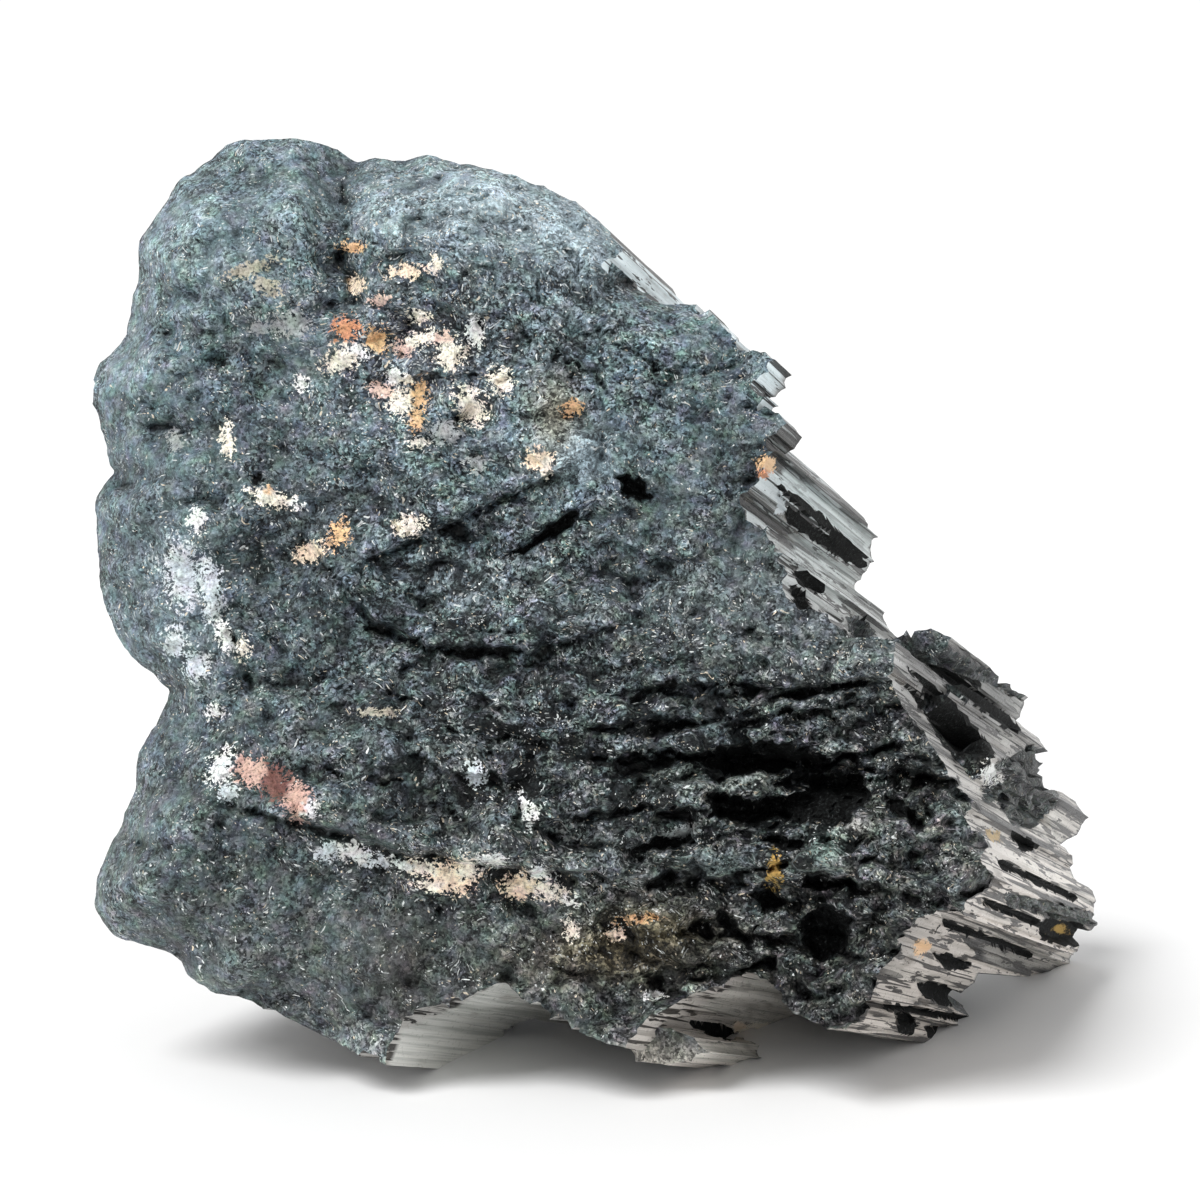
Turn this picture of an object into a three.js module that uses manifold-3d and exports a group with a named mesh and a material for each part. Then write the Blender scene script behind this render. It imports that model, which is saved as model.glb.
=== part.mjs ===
// Raw black tourmaline: a bundle of striated crystals grown side by side, broken across in
// front, broken off in steps at the back, and lying on its flattened underside.
// Millimetres, +X right, +Y away from the viewer, +Z up. The origin is on the ground, under
// the middle of the stone.

import * as THREE from 'three';
import { mergeVertices } from 'three/addons/utils/BufferGeometryUtils.js';
import { ImprovedNoise } from 'three/addons/math/ImprovedNoise.js';
import Module from 'manifold-3d';

const wasm = await Module();
wasm.setup();
const perlin = new ImprovedNoise();

// Driving dimensions. The stone is laid out as an eye straight in front of it sees it: a
// place is so many mm across and up on an upright front plane, and so many mm behind it.
const EYE_DISTANCE = 267;
const EYE_HEIGHT = 72.6;
const EYE_TILT = THREE.MathUtils.degToRad(5);
const CRYSTAL_DIP = THREE.MathUtils.degToRad(15.6);
const CRYSTAL_TURN = THREE.MathUtils.degToRad(21);
const FRONT_WIDTH = 110;
const FRONT_HEIGHT = 102;
const FRONT_PITCH = 1.95;
const BACK_PITCH = 3.4;
const REACH_BACK = 95;
const REACH_FRONT = 45;
const RIDGE_WIDTH = 1.5;
const RIDGE_DEPTH = 0.4;
const LUMP_HEIGHT = 1.5;
const KNOB_HEIGHT = 0.9;
const SHEET_HEIGHT = 2.6;
const RIM_DROP = 6;
const RIM_REACH = 3.2;
const JITTER = 0.9;
const BREAK_SIZE = 90;
const BREAK_CELLS = 20;
const CRYSTAL_SIDES = 9;
const CRYSTAL_BULGE = 0.12;
const CLEAR = 300;
const WELD = 0.004;

// The crystals all run away from the viewer, down and to the right
const AWAY = new THREE.Vector3(
  Math.sin(CRYSTAL_TURN) * Math.cos(CRYSTAL_DIP),
  Math.cos(CRYSTAL_TURN) * Math.cos(CRYSTAL_DIP),
  -Math.sin(CRYSTAL_DIP)
);
const NEAR = AWAY.clone().negate();
const SIDE = new THREE.Vector3(1, 0, 0).addScaledVector(AWAY, -AWAY.x).normalize();
const RISE = new THREE.Vector3().crossVectors(NEAR, SIDE);

// The broken front's edge as seen from the front: down the left, along the underside, up the
// right, and back along the top
const LEFT_EDGE = [
  [-31.8, 47.0], [-35.9, 46.9], [-38.9, 44.1], [-41.9, 41.8], [-43.6, 38.4], [-45.8, 35.8],
  [-46.0, 33.0], [-46.6, 29.6], [-47.4, 25.7], [-50.2, 22.9], [-51.0, 21.0], [-49.9, 18.7],
  [-49.2, 14.5], [-48.3, 12.8], [-50.3, 10.2], [-50.2, 4.9], [-50.1, 2.4], [-48.2, -2.7],
  [-46.6, -5.7], [-42.6, -8.9], [-43.5, -11.3], [-45.6, -15.0], [-46.4, -19.1],
  [-47.6, -21.9], [-49.6, -27.0], [-50.2, -30.6], [-48.6, -33.6], [-45.3, -34.6],
  [-42.4, -35.4], [-40.5, -37.7], [-37.3, -39.5], [-34.3, -39.9], [-28.0, -43.5],
];
const UNDER_EDGE = [
  [-23.7, -45.6], [-20.8, -46.6], [-19.1, -41.9], [-14.5, -41.0], [-9.1, -38.3],
  [-4.5, -41.9], [-2.2, -42.9], [1.3, -44.5], [3.2, -44.9], [8.3, -40.3], [13.0, -39.0],
  [14.5, -37.8], [16.5, -37.9], [19.9, -41.4], [23.4, -43.1], [25.7, -43.2],
];
const RIGHT_EDGE = [
  [27.7, -41.1], [28.3, -38.4], [30.3, -36.4], [31.5, -34.0], [33.0, -31.7],
  [36.8, -31.7], [38.3, -29.3], [39.9, -28.0], [39.1, -24.9], [37.7, -20.2],
  [34.2, -15.5], [31.5, -11.5], [30.9, -7.6], [30.0, -4.5], [26.0, -3.5], [23.0, -1.5],
  [19.8, -0.3], [18.9, 2.5], [18.7, 4.4], [17.3, 7.1], [14.5, 8.9], [15.0, 10.5],
  [17.4, 12.1], [18.6, 14.2], [16.8, 16.5], [16.0, 18.5], [17.3, 20.0], [15.7, 21.6],
  [14.2, 22.8], [14.6, 25.0], [13.9, 26.1], [11.3, 28.7],
];
const TOP_EDGE = [
  [10.0, 29.2], [7.5, 29.1], [4.0, 30.0], [1.6, 31.8], [3.4, 34.1], [1.5, 36.2],
  [0.4, 37.5], [-1.7, 39.1], [-5.0, 40.8], [-7.5, 41.8], [-11.8, 43.0], [-14.5, 43.5],
  [-17.5, 44.3], [-19.8, 43.4], [-22.0, 44.1], [-24.7, 43.8], [-26.9, 45.8],
];

// Swells and hollows of the front: across, up, reach across, reach up, height
const SWELLS = [
  [-37, 36, 12, 12, 4.5],
  [-12, 36, 16, 8, 3.5],
  [-26, 38, 3, 9, -3],
  [2, 20, 22, 17, 4],
  [-42, 8, 10, 18, 3],
  [-37, -27, 13, 12, 4.5],
  [-18, -15, 18, 9, 3.5],
  [18, -2, 14, 7, 2.5],
  [24, -15, 17, 5, -3.5],
  [30, -27, 10, 8, 3.5],
  [2, -36, 20, 7, -3],
  [20, -34, 6, 7, -3],
];

// Ledges: the stone above the line stands out over the stone below it.
// Step, reach above the line, then the line's points from left to right.
const LEDGES = [
  [2.2, 7, [[-25.5, 1.5], [-23.0, -2.0], [-18.0, -4.5], [-7.0, -5.2], [-3.5, -4.0]]],
  [3.4, 8, [[-31.0, -22.0], [-21.0, -25.0], [-13.0, -26.5], [-4.0, -27.2]]],
  [2.0, 5, [[4.0, -9.0], [12.0, -8.4], [20.0, -8.8], [28.0, -7.8]]],
  [2.2, 5, [[2.0, -12.2], [14.0, -11.8], [25.0, -10.5]]],
  [4.0, 6, [[4.0, -15.6], [12.0, -15.6], [20.0, -16.2], [33.0, -17.5]]],
  [2.6, 5, [[-1.0, -21.5], [6.0, -20.5], [14.0, -21.0]]],
  [3.2, 5, [[10.0, -28.0], [18.0, -26.5], [27.0, -28.5]]],
  [2.0, 6, [[-20.0, 5.5], [-13.0, 8.5], [-6.0, 12.0]]],
];

// Holes and deep hollows in the front: across, up, half width, half height, depth
const PITS = [
  [3.7, 11.0, 1.9, 1.3, 3.2],
  [2.8, 15.0, 0.6, 0.6, 1.4],
  [12.4, 22.8, 0.6, 0.7, 1.4],
  [-7.6, 5.2, 3.2, 0.9, 3.0],
  [14.0, -15.9, 9.0, 0.9, 4.0],
  [21.0, -20.2, 5.4, 2.2, 5.0],
  [12.8, -21.2, 2.6, 1.9, 3.5],
  [23.0, -33.0, 2.2, 2.6, 4.0],
  [35.5, -12.6, 3.4, 2.0, 6.0],
];

// Where the bundle breaks off at the back: across, up, length behind the front plane
const ENDINGS = [
  [-40, 38, 34], [-30, 42, 29], [-18, 40, 33], [-8, 38, 27], [2, 34, 19], [10, 26, 13],
  [15, 20, 10], [-44, 22, 38], [-32, 24, 46], [-18, 24, 42], [-5, 24, 34], [6, 18, 27],
  [-45, 8, 35], [-33, 6, 48], [-18, 8, 54], [-4, 8, 46], [8, 10, 38], [17.5, 13, 46],
  [16, 4, 50], [23, -1, 58], [-44, -14, 33], [-32, -12, 44], [-18, -8, 58], [-2, -8, 52],
  [12, -6, 54], [29, -6, 64], [-44, -28, 30], [-34, -30, 39], [-20, -26, 48],
  [-4, -24, 58], [10, -24, 60], [24, -20, 64], [37, -20, 64], [38, -28, 70], [34, -32, 69],
  [30, -36, 44], [25, -42, 60], [-22, -40, 28], [-10, -36, 40], [4, -42, 50], [14, -38, 50],
];

// Single crystals beside the bundle: across, up and behind at the near end, half width,
// half height, roll in degrees and length
const CRYSTALS = [
  [31.0, -5.6, 18, 4.4, 3.0, 20, 41],
  [34.0, -9.4, 15, 3.4, 2.4, -10, 41],
  [31.5, -12.0, 8, 4.2, 3.0, 35, 52],
  [35.5, -15.8, 7, 3.6, 3.4, 0, 55],
  [1.5, 30.5, 4, 4.6, 2.6, -40, 21],
  [14.6, 24.0, -2, 2.2, 1.9, 10, 13],
  [16.0, 17.8, -2, 2.1, 1.9, 0, 12],
  [6.2, -44.6, 0, 4.6, 2.0, -8, 57],
  [32.5, -31.5, 0, 3.2, 2.4, 15, 66],
  [-40.0, -28.0, 18, 5.0, 4.0, 20, 26],
  [-36.0, 20.0, 30, 4.5, 5.5, 0, 22],
  [-14.0, 36.0, 26, 5.0, 4.0, 30, 14],
  [-6.0, 4.0, 40, 6.0, 5.0, 15, 18],
  [10.0, -16.0, 46, 5.5, 4.5, 50, 16],
];

// Rough breaks across the hidden sides: a point on the break and the way it faces
const BREAKS = [
  [[-38, 40, 78], [-0.45, 0.8, 0.4]],
  [[-46, 34, 46], [-0.75, 0.65, -0.1]],
  [[-44, 26, 20], [-0.8, 0.5, -0.35]],
  [[-8, 40, 90], [0.1, 0.75, 0.66]],
  [[14, 26, 78], [0.55, 0.6, 0.6]],
  [[20, 60, 40], [0.25, 0.95, 0.2]],
  [[-46, 12, 92], [-0.6, 0.1, 0.79]],
  [[-54, 20, 66], [-0.97, 0.1, 0.2]],
];

// Places the point that is seen at (across, up) and lies so far behind the front plane
function seen(across, up, behind) {
  const spread = (EYE_DISTANCE + behind) / EYE_DISTANCE;
  const lift = up * spread;
  const ahead = EYE_DISTANCE + behind;
  return new THREE.Vector3(
    across * spread,
    ahead * Math.cos(EYE_TILT) + lift * Math.sin(EYE_TILT) - EYE_DISTANCE * Math.cos(EYE_TILT),
    EYE_HEIGHT - ahead * Math.sin(EYE_TILT) + lift * Math.cos(EYE_TILT)
  );
}

// A point's place across the crystals
function across(point) {
  return new THREE.Vector2(point.dot(SIDE), point.dot(RISE));
}

function smooth(edge0, edge1, x) {
  return THREE.MathUtils.smoothstep(x, edge0, edge1);
}

// Nearest distance to a chain of points, and whether the place is above the chain
function besideLine(u, v, line) {
  let nearest = Infinity;
  let above = false;
  for (let i = 0; i + 1 < line.length; i++) {
    const [x0, y0] = line[i];
    const [x1, y1] = line[i + 1];
    const along = ((u - x0) * (x1 - x0) + (v - y0) * (y1 - y0)) / ((x1 - x0) ** 2 + (y1 - y0) ** 2);
    const t = THREE.MathUtils.clamp(along, 0, 1);
    const distance = Math.hypot(u - x0 - t * (x1 - x0), v - y0 - t * (y1 - y0));
    if (distance < nearest) {
      nearest = distance;
      above = (x1 - x0) * (v - y0) - (y1 - y0) * (u - x0) > 0;
    }
  }
  return [nearest, above];
}

// How far the ledges bring the stone forward at a place
function ledgeHeight(u, v) {
  let height = 0;
  for (const [step, reach, line] of LEDGES) {
    const [distance, above] = besideLine(u, v, line);
    height += above ? step * 0.6 * Math.exp(-distance / reach) : -step * 0.4 * Math.exp(-distance / 2);
  }
  return height;
}

// Rounding of the front towards the left and the top, where no crystal faces follow it
function rounding(u, v) {
  const [distance] = besideLine(u, v, [...TOP_EDGE, ...LEFT_EDGE]);
  return RIM_DROP * Math.exp(-distance / RIM_REACH);
}

// How far behind the front plane the broken front lies
function frontRelief(u, v) {
  let behind = 2 - 0.11 * u + 0.12 * v + rounding(u, v) - ledgeHeight(u, v);
  for (const [x, y, reachX, reachY, height] of SWELLS) {
    behind -= height * Math.exp(-(((u - x) / reachX) ** 2) - ((v - y) / reachY) ** 2);
  }
  const jagged = smooth(-2, 10, u) * smooth(-6, -14, v);
  behind += LUMP_HEIGHT * perlin.noise(u / 8, v / 8, 0.3);
  behind += KNOB_HEIGHT * perlin.noise(u / 3.6, v / 3.6, 5.1);
  behind += jagged * SHEET_HEIGHT * perlin.noise(u / 9, v / 2.6, 9.7);
  return behind;
}

// How far towards the viewer the back of the bundle reaches at a place across the crystals
function backRelief(x, y) {
  let nearest = Infinity;
  let length = 0;
  for (const [u, v, reach] of ENDINGS) {
    const centre = across(seen(u, v, 0));
    const distance = Math.hypot(x - centre.x, y - centre.y);
    if (distance < nearest) {
      nearest = distance;
      length = reach;
    }
  }
  return -length + 1.6 * perlin.noise(x / 5, y / 5, 3.3) + 2.2 * perlin.noise(x / 14, y / 14, 7.7);
}

// Makes a closed solid of a geometry
function solid(geometry) {
  const bare = geometry.clone();
  bare.deleteAttribute('normal');
  bare.deleteAttribute('uv');
  const merged = mergeVertices(bare, 1e-4);
  return new wasm.Manifold(new wasm.Mesh({
    numProp: 3,
    vertProperties: new Float32Array(merged.attributes.position.array),
    triVerts: new Uint32Array(merged.index.array),
    tolerance: WELD,
  }));
}

// A block whose near face follows the broken front
function frontBlock() {
  const columns = Math.round(FRONT_WIDTH / FRONT_PITCH);
  const rows = Math.round(FRONT_HEIGHT / FRONT_PITCH);
  const block = new THREE.BoxGeometry(FRONT_WIDTH, FRONT_HEIGHT, 2, columns, rows, 1);
  const place = block.attributes.position;
  for (let i = 0; i < place.count; i++) {
    const u0 = place.getX(i);
    const v0 = place.getY(i);
    const u = u0 + JITTER * perlin.noise(u0 / 2.3, v0 / 2.3, 1.5);
    const v = v0 + JITTER * perlin.noise(u0 / 2.3, v0 / 2.3, 8.5);
    const behind = place.getZ(i) > 0 ? frontRelief(u, v) : REACH_BACK;
    place.setXYZ(i, ...seen(u, v, behind));
  }
  return solid(block);
}

// Turns a geometry drawn across the crystals, with z towards the viewer, into place
function alignWithCrystals(geometry) {
  return geometry.applyMatrix4(new THREE.Matrix4().makeBasis(SIDE, RISE, NEAR));
}

// A block whose far face follows the broken back
function backBlock() {
  const columns = Math.round(FRONT_WIDTH / BACK_PITCH);
  const rows = Math.round(FRONT_HEIGHT / BACK_PITCH);
  const block = new THREE.BoxGeometry(FRONT_WIDTH, FRONT_HEIGHT, 2, columns, rows, 1);
  const place = block.attributes.position;
  const middle = across(seen(0, 0, 0));
  for (let i = 0; i < place.count; i++) {
    const x = middle.x + place.getX(i);
    const y = middle.y + place.getY(i);
    const z = place.getZ(i) > 0 ? REACH_FRONT : NEAR.dot(seen(0, 0, 0)) + backRelief(x, y);
    place.setXYZ(i, x, y, z);
  }
  return solid(alignWithCrystals(block));
}

// Cuts fine grooves between the points of an outline, for the crystals' striped faces
function ridged(outline, closed) {
  const points = [];
  outline.forEach((from, i) => {
    if (!closed && i + 1 === outline.length) {
      points.push(from);
      return;
    }
    const to = outline[(i + 1) % outline.length];
    const length = from.distanceTo(to);
    const steps = 2 * Math.round(length / RIDGE_WIDTH / 2);
    const inward = new THREE.Vector2(from.y - to.y, to.x - from.x).normalize();
    points.push(from);
    for (let k = 1; k < steps; k++) {
      const depth = (k % 2) * RIDGE_DEPTH * (1 + perlin.noise(from.x, from.y, k * 1.7));
      points.push(from.clone().lerp(to, k / steps).addScaledVector(inward, depth));
    }
  });
  return points;
}

// Extrudes an outline drawn across the crystals, from one place along them to another
function column(outline, far, near) {
  const shape = new THREE.Shape(outline);
  const length = new THREE.ExtrudeGeometry(shape, { depth: near - far, bevelEnabled: false });
  return solid(alignWithCrystals(length.translate(0, 0, far)));
}

// The bundle's outline runs straight back along the crystals
function bundle() {
  const onFront = ([u, v]) => across(seen(u, v, frontRelief(u, v)));
  const striped = ridged([...UNDER_EDGE, ...RIGHT_EDGE].map(onFront), false);
  const outline = [...LEFT_EDGE.map(onFront), ...striped, ...TOP_EDGE.map(onFront)];
  return column(outline, -REACH_BACK, REACH_FRONT);
}

// One crystal: a rounded three-sided section, as tourmaline grows, with striped faces
function crystal([u, v, behind, halfWidth, halfHeight, roll, length]) {
  const start = seen(u, v, behind);
  const middle = across(start);
  const turn = THREE.MathUtils.degToRad(roll);
  const outline = [];
  for (let i = 0; i < CRYSTAL_SIDES; i++) {
    const angle = (2 * Math.PI * i) / CRYSTAL_SIDES;
    const bulge = 1 + CRYSTAL_BULGE * Math.cos(3 * angle);
    const x = halfWidth * bulge * Math.cos(angle);
    const y = halfHeight * bulge * Math.sin(angle);
    outline.push(new THREE.Vector2(x, y).rotateAround(new THREE.Vector2(), turn).add(middle));
  }
  const near = start.dot(NEAR);
  return column(ridged(outline, true), near - length, near);
}

// A rough broken face that takes everything beyond it away
function breakAway([at, facing]) {
  const block = new THREE.BoxGeometry(BREAK_SIZE, BREAK_SIZE, 2, BREAK_CELLS, BREAK_CELLS, 1);
  const place = block.attributes.position;
  for (let i = 0; i < place.count; i++) {
    const x = place.getX(i);
    const y = place.getY(i);
    const rough = 2.6 * perlin.noise(x / 9, y / 9, at[0]) + 1.4 * perlin.noise(x / 4.3, y / 4.3, at[2]);
    place.setZ(i, place.getZ(i) > 0 ? BREAK_SIZE : rough);
  }
  const outward = new THREE.Vector3(...facing).normalize();
  const turn = new THREE.Quaternion().setFromUnitVectors(new THREE.Vector3(0, 0, 1), outward);
  return solid(block.applyQuaternion(turn).translate(...at));
}

// Small holes in the broken front
function pit([u, v, halfWidth, halfHeight, depth]) {
  const hole = new THREE.IcosahedronGeometry(1, 1).scale(halfWidth, depth, halfHeight);
  return solid(hole.translate(...seen(u, v, frontRelief(u, v))));
}

function stone() {
  let body = bundle().intersect(backBlock());
  for (const face of BREAKS) body = body.subtract(breakAway(face));
  for (const single of CRYSTALS) body = body.add(crystal(single));
  body = body.intersect(frontBlock());
  for (const hole of PITS) body = body.subtract(pit(hole));
  const above = new THREE.BoxGeometry(CLEAR, CLEAR, CLEAR).translate(0, 0, CLEAR / 2);
  return body.intersect(solid(above));
}

function toGeometry(manifold) {
  const mesh = manifold.getMesh();
  const geometry = new THREE.BufferGeometry();
  geometry.setAttribute('position', new THREE.BufferAttribute(mesh.vertProperties, 3));
  geometry.setIndex(new THREE.BufferAttribute(mesh.triVerts, 1));
  return geometry;
}

// The origin goes to the ground under the middle of the stone's box
const geometry = toGeometry(stone());
geometry.computeBoundingBox();
const middle = geometry.boundingBox.getCenter(new THREE.Vector3());
geometry.translate(-middle.x, -middle.y, 0);
geometry.computeVertexNormals();
const material = new THREE.MeshStandardMaterial({ color: 0x3a4042, roughness: 0.35, metalness: 0 });
const tourmaline = new THREE.Mesh(geometry, material);
tourmaline.name = 'black_tourmaline';

const group = new THREE.Group();
group.add(tourmaline);
export default group;
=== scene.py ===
"""Raw black tourmaline: a bundle of striated crystals with a coarse broken front.

The stone is built as it grew and broke. A bundle of crystals runs away from the viewer, down
and to the right. Its front is broken across into a rough, grainy face and its back into steps.
"""

import math

import bmesh
import bpy
import numpy as np
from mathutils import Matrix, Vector


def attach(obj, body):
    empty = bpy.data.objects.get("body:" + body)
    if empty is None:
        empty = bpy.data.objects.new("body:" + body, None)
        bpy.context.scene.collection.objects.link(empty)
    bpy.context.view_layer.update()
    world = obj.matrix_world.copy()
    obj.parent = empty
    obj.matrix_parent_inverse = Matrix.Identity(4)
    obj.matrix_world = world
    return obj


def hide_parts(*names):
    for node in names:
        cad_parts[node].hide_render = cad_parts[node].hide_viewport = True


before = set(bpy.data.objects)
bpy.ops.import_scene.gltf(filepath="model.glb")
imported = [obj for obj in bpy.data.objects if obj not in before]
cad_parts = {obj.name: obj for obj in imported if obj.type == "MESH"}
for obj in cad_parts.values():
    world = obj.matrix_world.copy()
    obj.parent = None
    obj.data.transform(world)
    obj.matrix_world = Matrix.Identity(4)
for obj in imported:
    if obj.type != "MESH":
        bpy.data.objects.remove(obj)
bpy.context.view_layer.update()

NODE = "black_tourmaline"
MM = 0.001

# The eye that the stone is laid out from, in mm: a place is so far across and up on an upright
# front plane, and so far behind it. ORIGIN is the row's origin seen from the ground point
# under the middle of that plane.
EYE_DISTANCE = 267.0
EYE_HEIGHT = 72.6
EYE_TILT = math.radians(5.0)
EYE_COS, EYE_SIN = math.cos(EYE_TILT), math.sin(EYE_TILT)
EYE = np.array([0.0, -EYE_DISTANCE * EYE_COS, EYE_HEIGHT])
ORIGIN = np.array([2.55, 24.385, 0.0])

# The directions of the crystals: along them away from the viewer, and across them
CRYSTAL_DIP = math.radians(15.6)
CRYSTAL_TURN = math.radians(21.0)
AWAY = np.array([
    math.sin(CRYSTAL_TURN) * math.cos(CRYSTAL_DIP),
    math.cos(CRYSTAL_TURN) * math.cos(CRYSTAL_DIP),
    -math.sin(CRYSTAL_DIP),
])
NEAR = -AWAY
SIDE = np.array([1.0, 0.0, 0.0]) - AWAY[0] * AWAY
SIDE = SIDE / np.linalg.norm(SIDE)
RISE = np.cross(NEAR, SIDE)

# The blocks that trim the bundle in front and behind, in mm
FRONT_WIDTH = 110.0
FRONT_HEIGHT = 102.0
REACH_BACK = 95.0
REACH_FRONT = 45.0
BUNDLE_ENDS = (-78.0, 42.0)
BREAK_REACH = 60.0

# How fine the meshes are, in mm
FRONT_PITCH = 0.37
SIDE_PITCH = 0.3
HIDDEN_PITCH = 0.7
RING_PITCH = 1.4
BACK_PITCH = 1.0
BLUR_PITCH = 0.4

WEAR = 1.0  # how far round them the hidden corners are worn, in mm
# A recess's walls are painted black as shade too, this broad for each mm of its depth
WALL = 0.2  # how broad a recess's dark wall is for each mm of its depth
ROUND_OFF = 0.9  # how much the front's pebbles are domed
GRAIN_SIZE = 1.5  # how much larger the pale grains are drawn than in their table
# The hidden sides get this even brightness instead of the painted light and shade of the sides seen
# from the front
HIDDEN_SHADE = 0.5  # how bright the hidden sides are

# The stone's materials, by number
BROKEN, CRYSTAL, SHADED_HOLLOW = range(3)


# Tables of named places


def table(text):
    """Rows of numbers, divided by semicolons. A row may end with a word."""
    return [[float(word) if word[-1].isdigit() else word for word in row.split()]
            for row in text.split(";")]


def chain(text):
    """Points from a text such as "1,2 3,4"."""
    return [tuple(map(float, point.split(","))) for point in text.split()]


def shapes(text):
    """Shapes divided by semicolons, each of one or two numbers, a colon and its points."""
    parts = [row.split(":") for row in text.split(";")]
    return [(*map(float, numbers.split()), chain(points)) for numbers, points in parts]


# The broken front's edge as seen from the front, across and up: down the left, along the
# underside, up the right, and back along the top
LEFT_EDGE = chain("""
-31.8,47 -35.9,46.9 -38.9,44.1 -41.9,41.8 -43.6,38.4 -45.8,35.8 -46,33 -46.6,29.6 -47.4,25.7 -50.2,22.9
-51,21 -49.9,18.7 -49.2,14.5 -48.3,12.8 -50.3,10.2 -50.2,4.9 -50.1,2.4 -48.2,-2.7 -46.6,-5.7 -42.6,-8.9
-43.5,-11.3 -45.6,-15 -46.4,-19.1 -47.6,-21.9 -49.6,-27 -50.2,-30.6 -48.6,-33.6 -45.3,-34.6 -42.4,-35.4
-40.5,-37.7 -37.3,-39.5 -34.3,-39.9 -28,-43.5
""")
UNDER_EDGE = chain("""
-23.7,-45.6 -20.8,-46.6 -19.1,-41.9 -14.5,-41 -9.1,-38.3 -4.5,-41.9 -2.2,-42.9 1.3,-44.5 3.2,-44.9
8.3,-40.3 13,-39 14.5,-37.8 16.5,-37.9 19.9,-41.4 23.4,-43.1 25.7,-43.2
""")
RIGHT_EDGE = chain("""
27.7,-41.1 28.3,-38.4 30.3,-36.4 31.5,-34 33,-31.7 36.8,-31.7 38.3,-29.3 39.9,-28 39.1,-24.9 37.7,-20.2
34.2,-15.5 31.5,-11.5 30.9,-7.6 30,-4.5 26,-3.5 23,-1.5 19.8,-.3 18.9,2.5 18.7,4.4 17.3,7.1 14.5,8.9
15,10.5 17.4,12.1 18.6,14.2 16.8,16.5 16,18.5 17.3,20 15.7,21.6 14.2,22.8 14.6,25 13.9,26.1 11.3,28.7
""")
TOP_EDGE = chain("""
10,29.2 7.5,29.1 4,30 1.6,31.8 3.4,34.1 1.5,36.2 .4,37.5 -1.7,39.1 -5,40.8 -7.5,41.8 -11.8,43
-14.5,43.5 -17.5,44.3 -19.8,43.4 -22,44.1 -24.7,43.8 -26.9,45.8
""")

# Closes the top and left edges round the side where the crystals run on past the front
OPEN_SIDE = chain("""
35,-79.5 200,-79.5 200,29.2
""")

# Swells and hollows of the front: across, up, reach across, reach up, height
SWELLS = table("""
-37 36 12 12 4.5; -12 36 16 8 3.5; -26 38 3 9 -3; 2 20 22 17 4; -42 8 10 18 3; -37 -27 13 12 4.5;
-18 -15 18 9 3.5; 18 -2 14 7 2.5; 24 -15 17 5 -3.5; 30 -27 10 8 3.5; 2 -36 20 7 -3; 20 -34 6 7 -3
""")

# Ledges: the stone above the line stands out over the stone below it.
# Step, reach above the line: the line's points from left to right
LEDGES = shapes("""
2.2 7: -25.5,1.5 -23,-2 -18,-4.5 -7,-5.2 -3.5,-4;  3.4 8: -31,-22 -21,-25 -13,-26.5 -4,-27.2;
2 5: 4,-9 12,-8.4 20,-8.8 28,-7.8;  2.2 5: 2,-12.2 14,-11.8 25,-10.5;
4 6: 4,-15.6 12,-15.6 20,-16.2 33,-17.5;  2.6 5: -1,-21.5 6,-20.5 14,-21;
3.2 5: 10,-28 18,-26.5 27,-28.5;  2 6: -20,5.5 -13,8.5 -6,12
""")

# Black hollows of the front. Depth: the corners of the hollow
PITS = shapes("""
3: 1.9,12.1 3.2,12.4 4.5,11.6 5.5,10.3 4,10 2.2,10.4;
2.2: -9.7,4.4 -7,5.9 -4.8,7.8 -2.2,9.2 -1.8,8.3 -3.4,7 -5.5,5.9 -8,4.4;  4: 4.4,-15 9.7,-15.2 12.6,-14.7
17.3,-14.1 21.4,-15.2 23.7,-16 23.1,-16.7 18.5,-16.7 13.8,-17.6 10.2,-16.4 6.7,-15.5;  5: 11.4,-19.1
15.5,-20.2 20.8,-19.1 21.4,-17.6 25.8,-17.3 27,-19.1 26.1,-20.5 24.9,-22.3 21.4,-22.3 17.3,-21.7
15.5,-22.6 13.8,-22.3 11.4,-21.4 10.5,-20.2;  2: .9,-21.2 4,-20.6 6.1,-20.5 5,-21.2 2,-21.5;
2.5: 2.3,-24.9 5.5,-23.8 9.1,-22.9 9.7,-24.2 7.2,-25 4,-25.3;
2.4: 4.4,-28 6,-27.4 7.6,-27 7.6,-28.4 6.2,-29.3 4.8,-29;
4.5: 20,-32.5 22.3,-30.5 24.6,-31.2 24.9,-33.5 24,-35.5 22,-36.1 20.8,-34.8;
3: 16.7,-23.8 19,-23.6 20.8,-24.5 20,-25.3 17.5,-25;
2.5: 15.2,-29.5 17,-28.8 18.5,-30 18,-31.5 16.2,-31.2;
2: 11.4,-30.5 12.8,-31.2 14.5,-33 15.7,-35 14.5,-35 12.8,-33.5 11.5,-31.8;
2.4: 16.5,-9.7 20,-9.1 24,-8.2 26.8,-7.9 26.6,-8.6 23.5,-9.2 20,-10 17,-10.3;
1.6: 11.4,-12.4 14,-12.2 16.2,-12 16,-12.7 13.5,-12.9;
2: 35.5,-29.3 37.5,-28.5 39.2,-28 39.6,-29 38,-29.8 36,-30;
2: 19.6,-38.5 21.5,-39 21.2,-40.3 19.8,-39.8;  2: 25,-40.8 26.8,-40 27.6,-41 26.2,-42.2;
1.2: -35.2,12.8 -33.8,13 -33.2,12 -34.2,11.2 -35.2,11.8;
2: 28,-19 30.5,-20 33,-22.6 31.8,-23.4 29.3,-21.2;
1.5: -19.8,-3.7 -16,-4.8 -10,-4.5 -7.2,-5 -10,-5.7 -16,-5.7
""")

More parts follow.
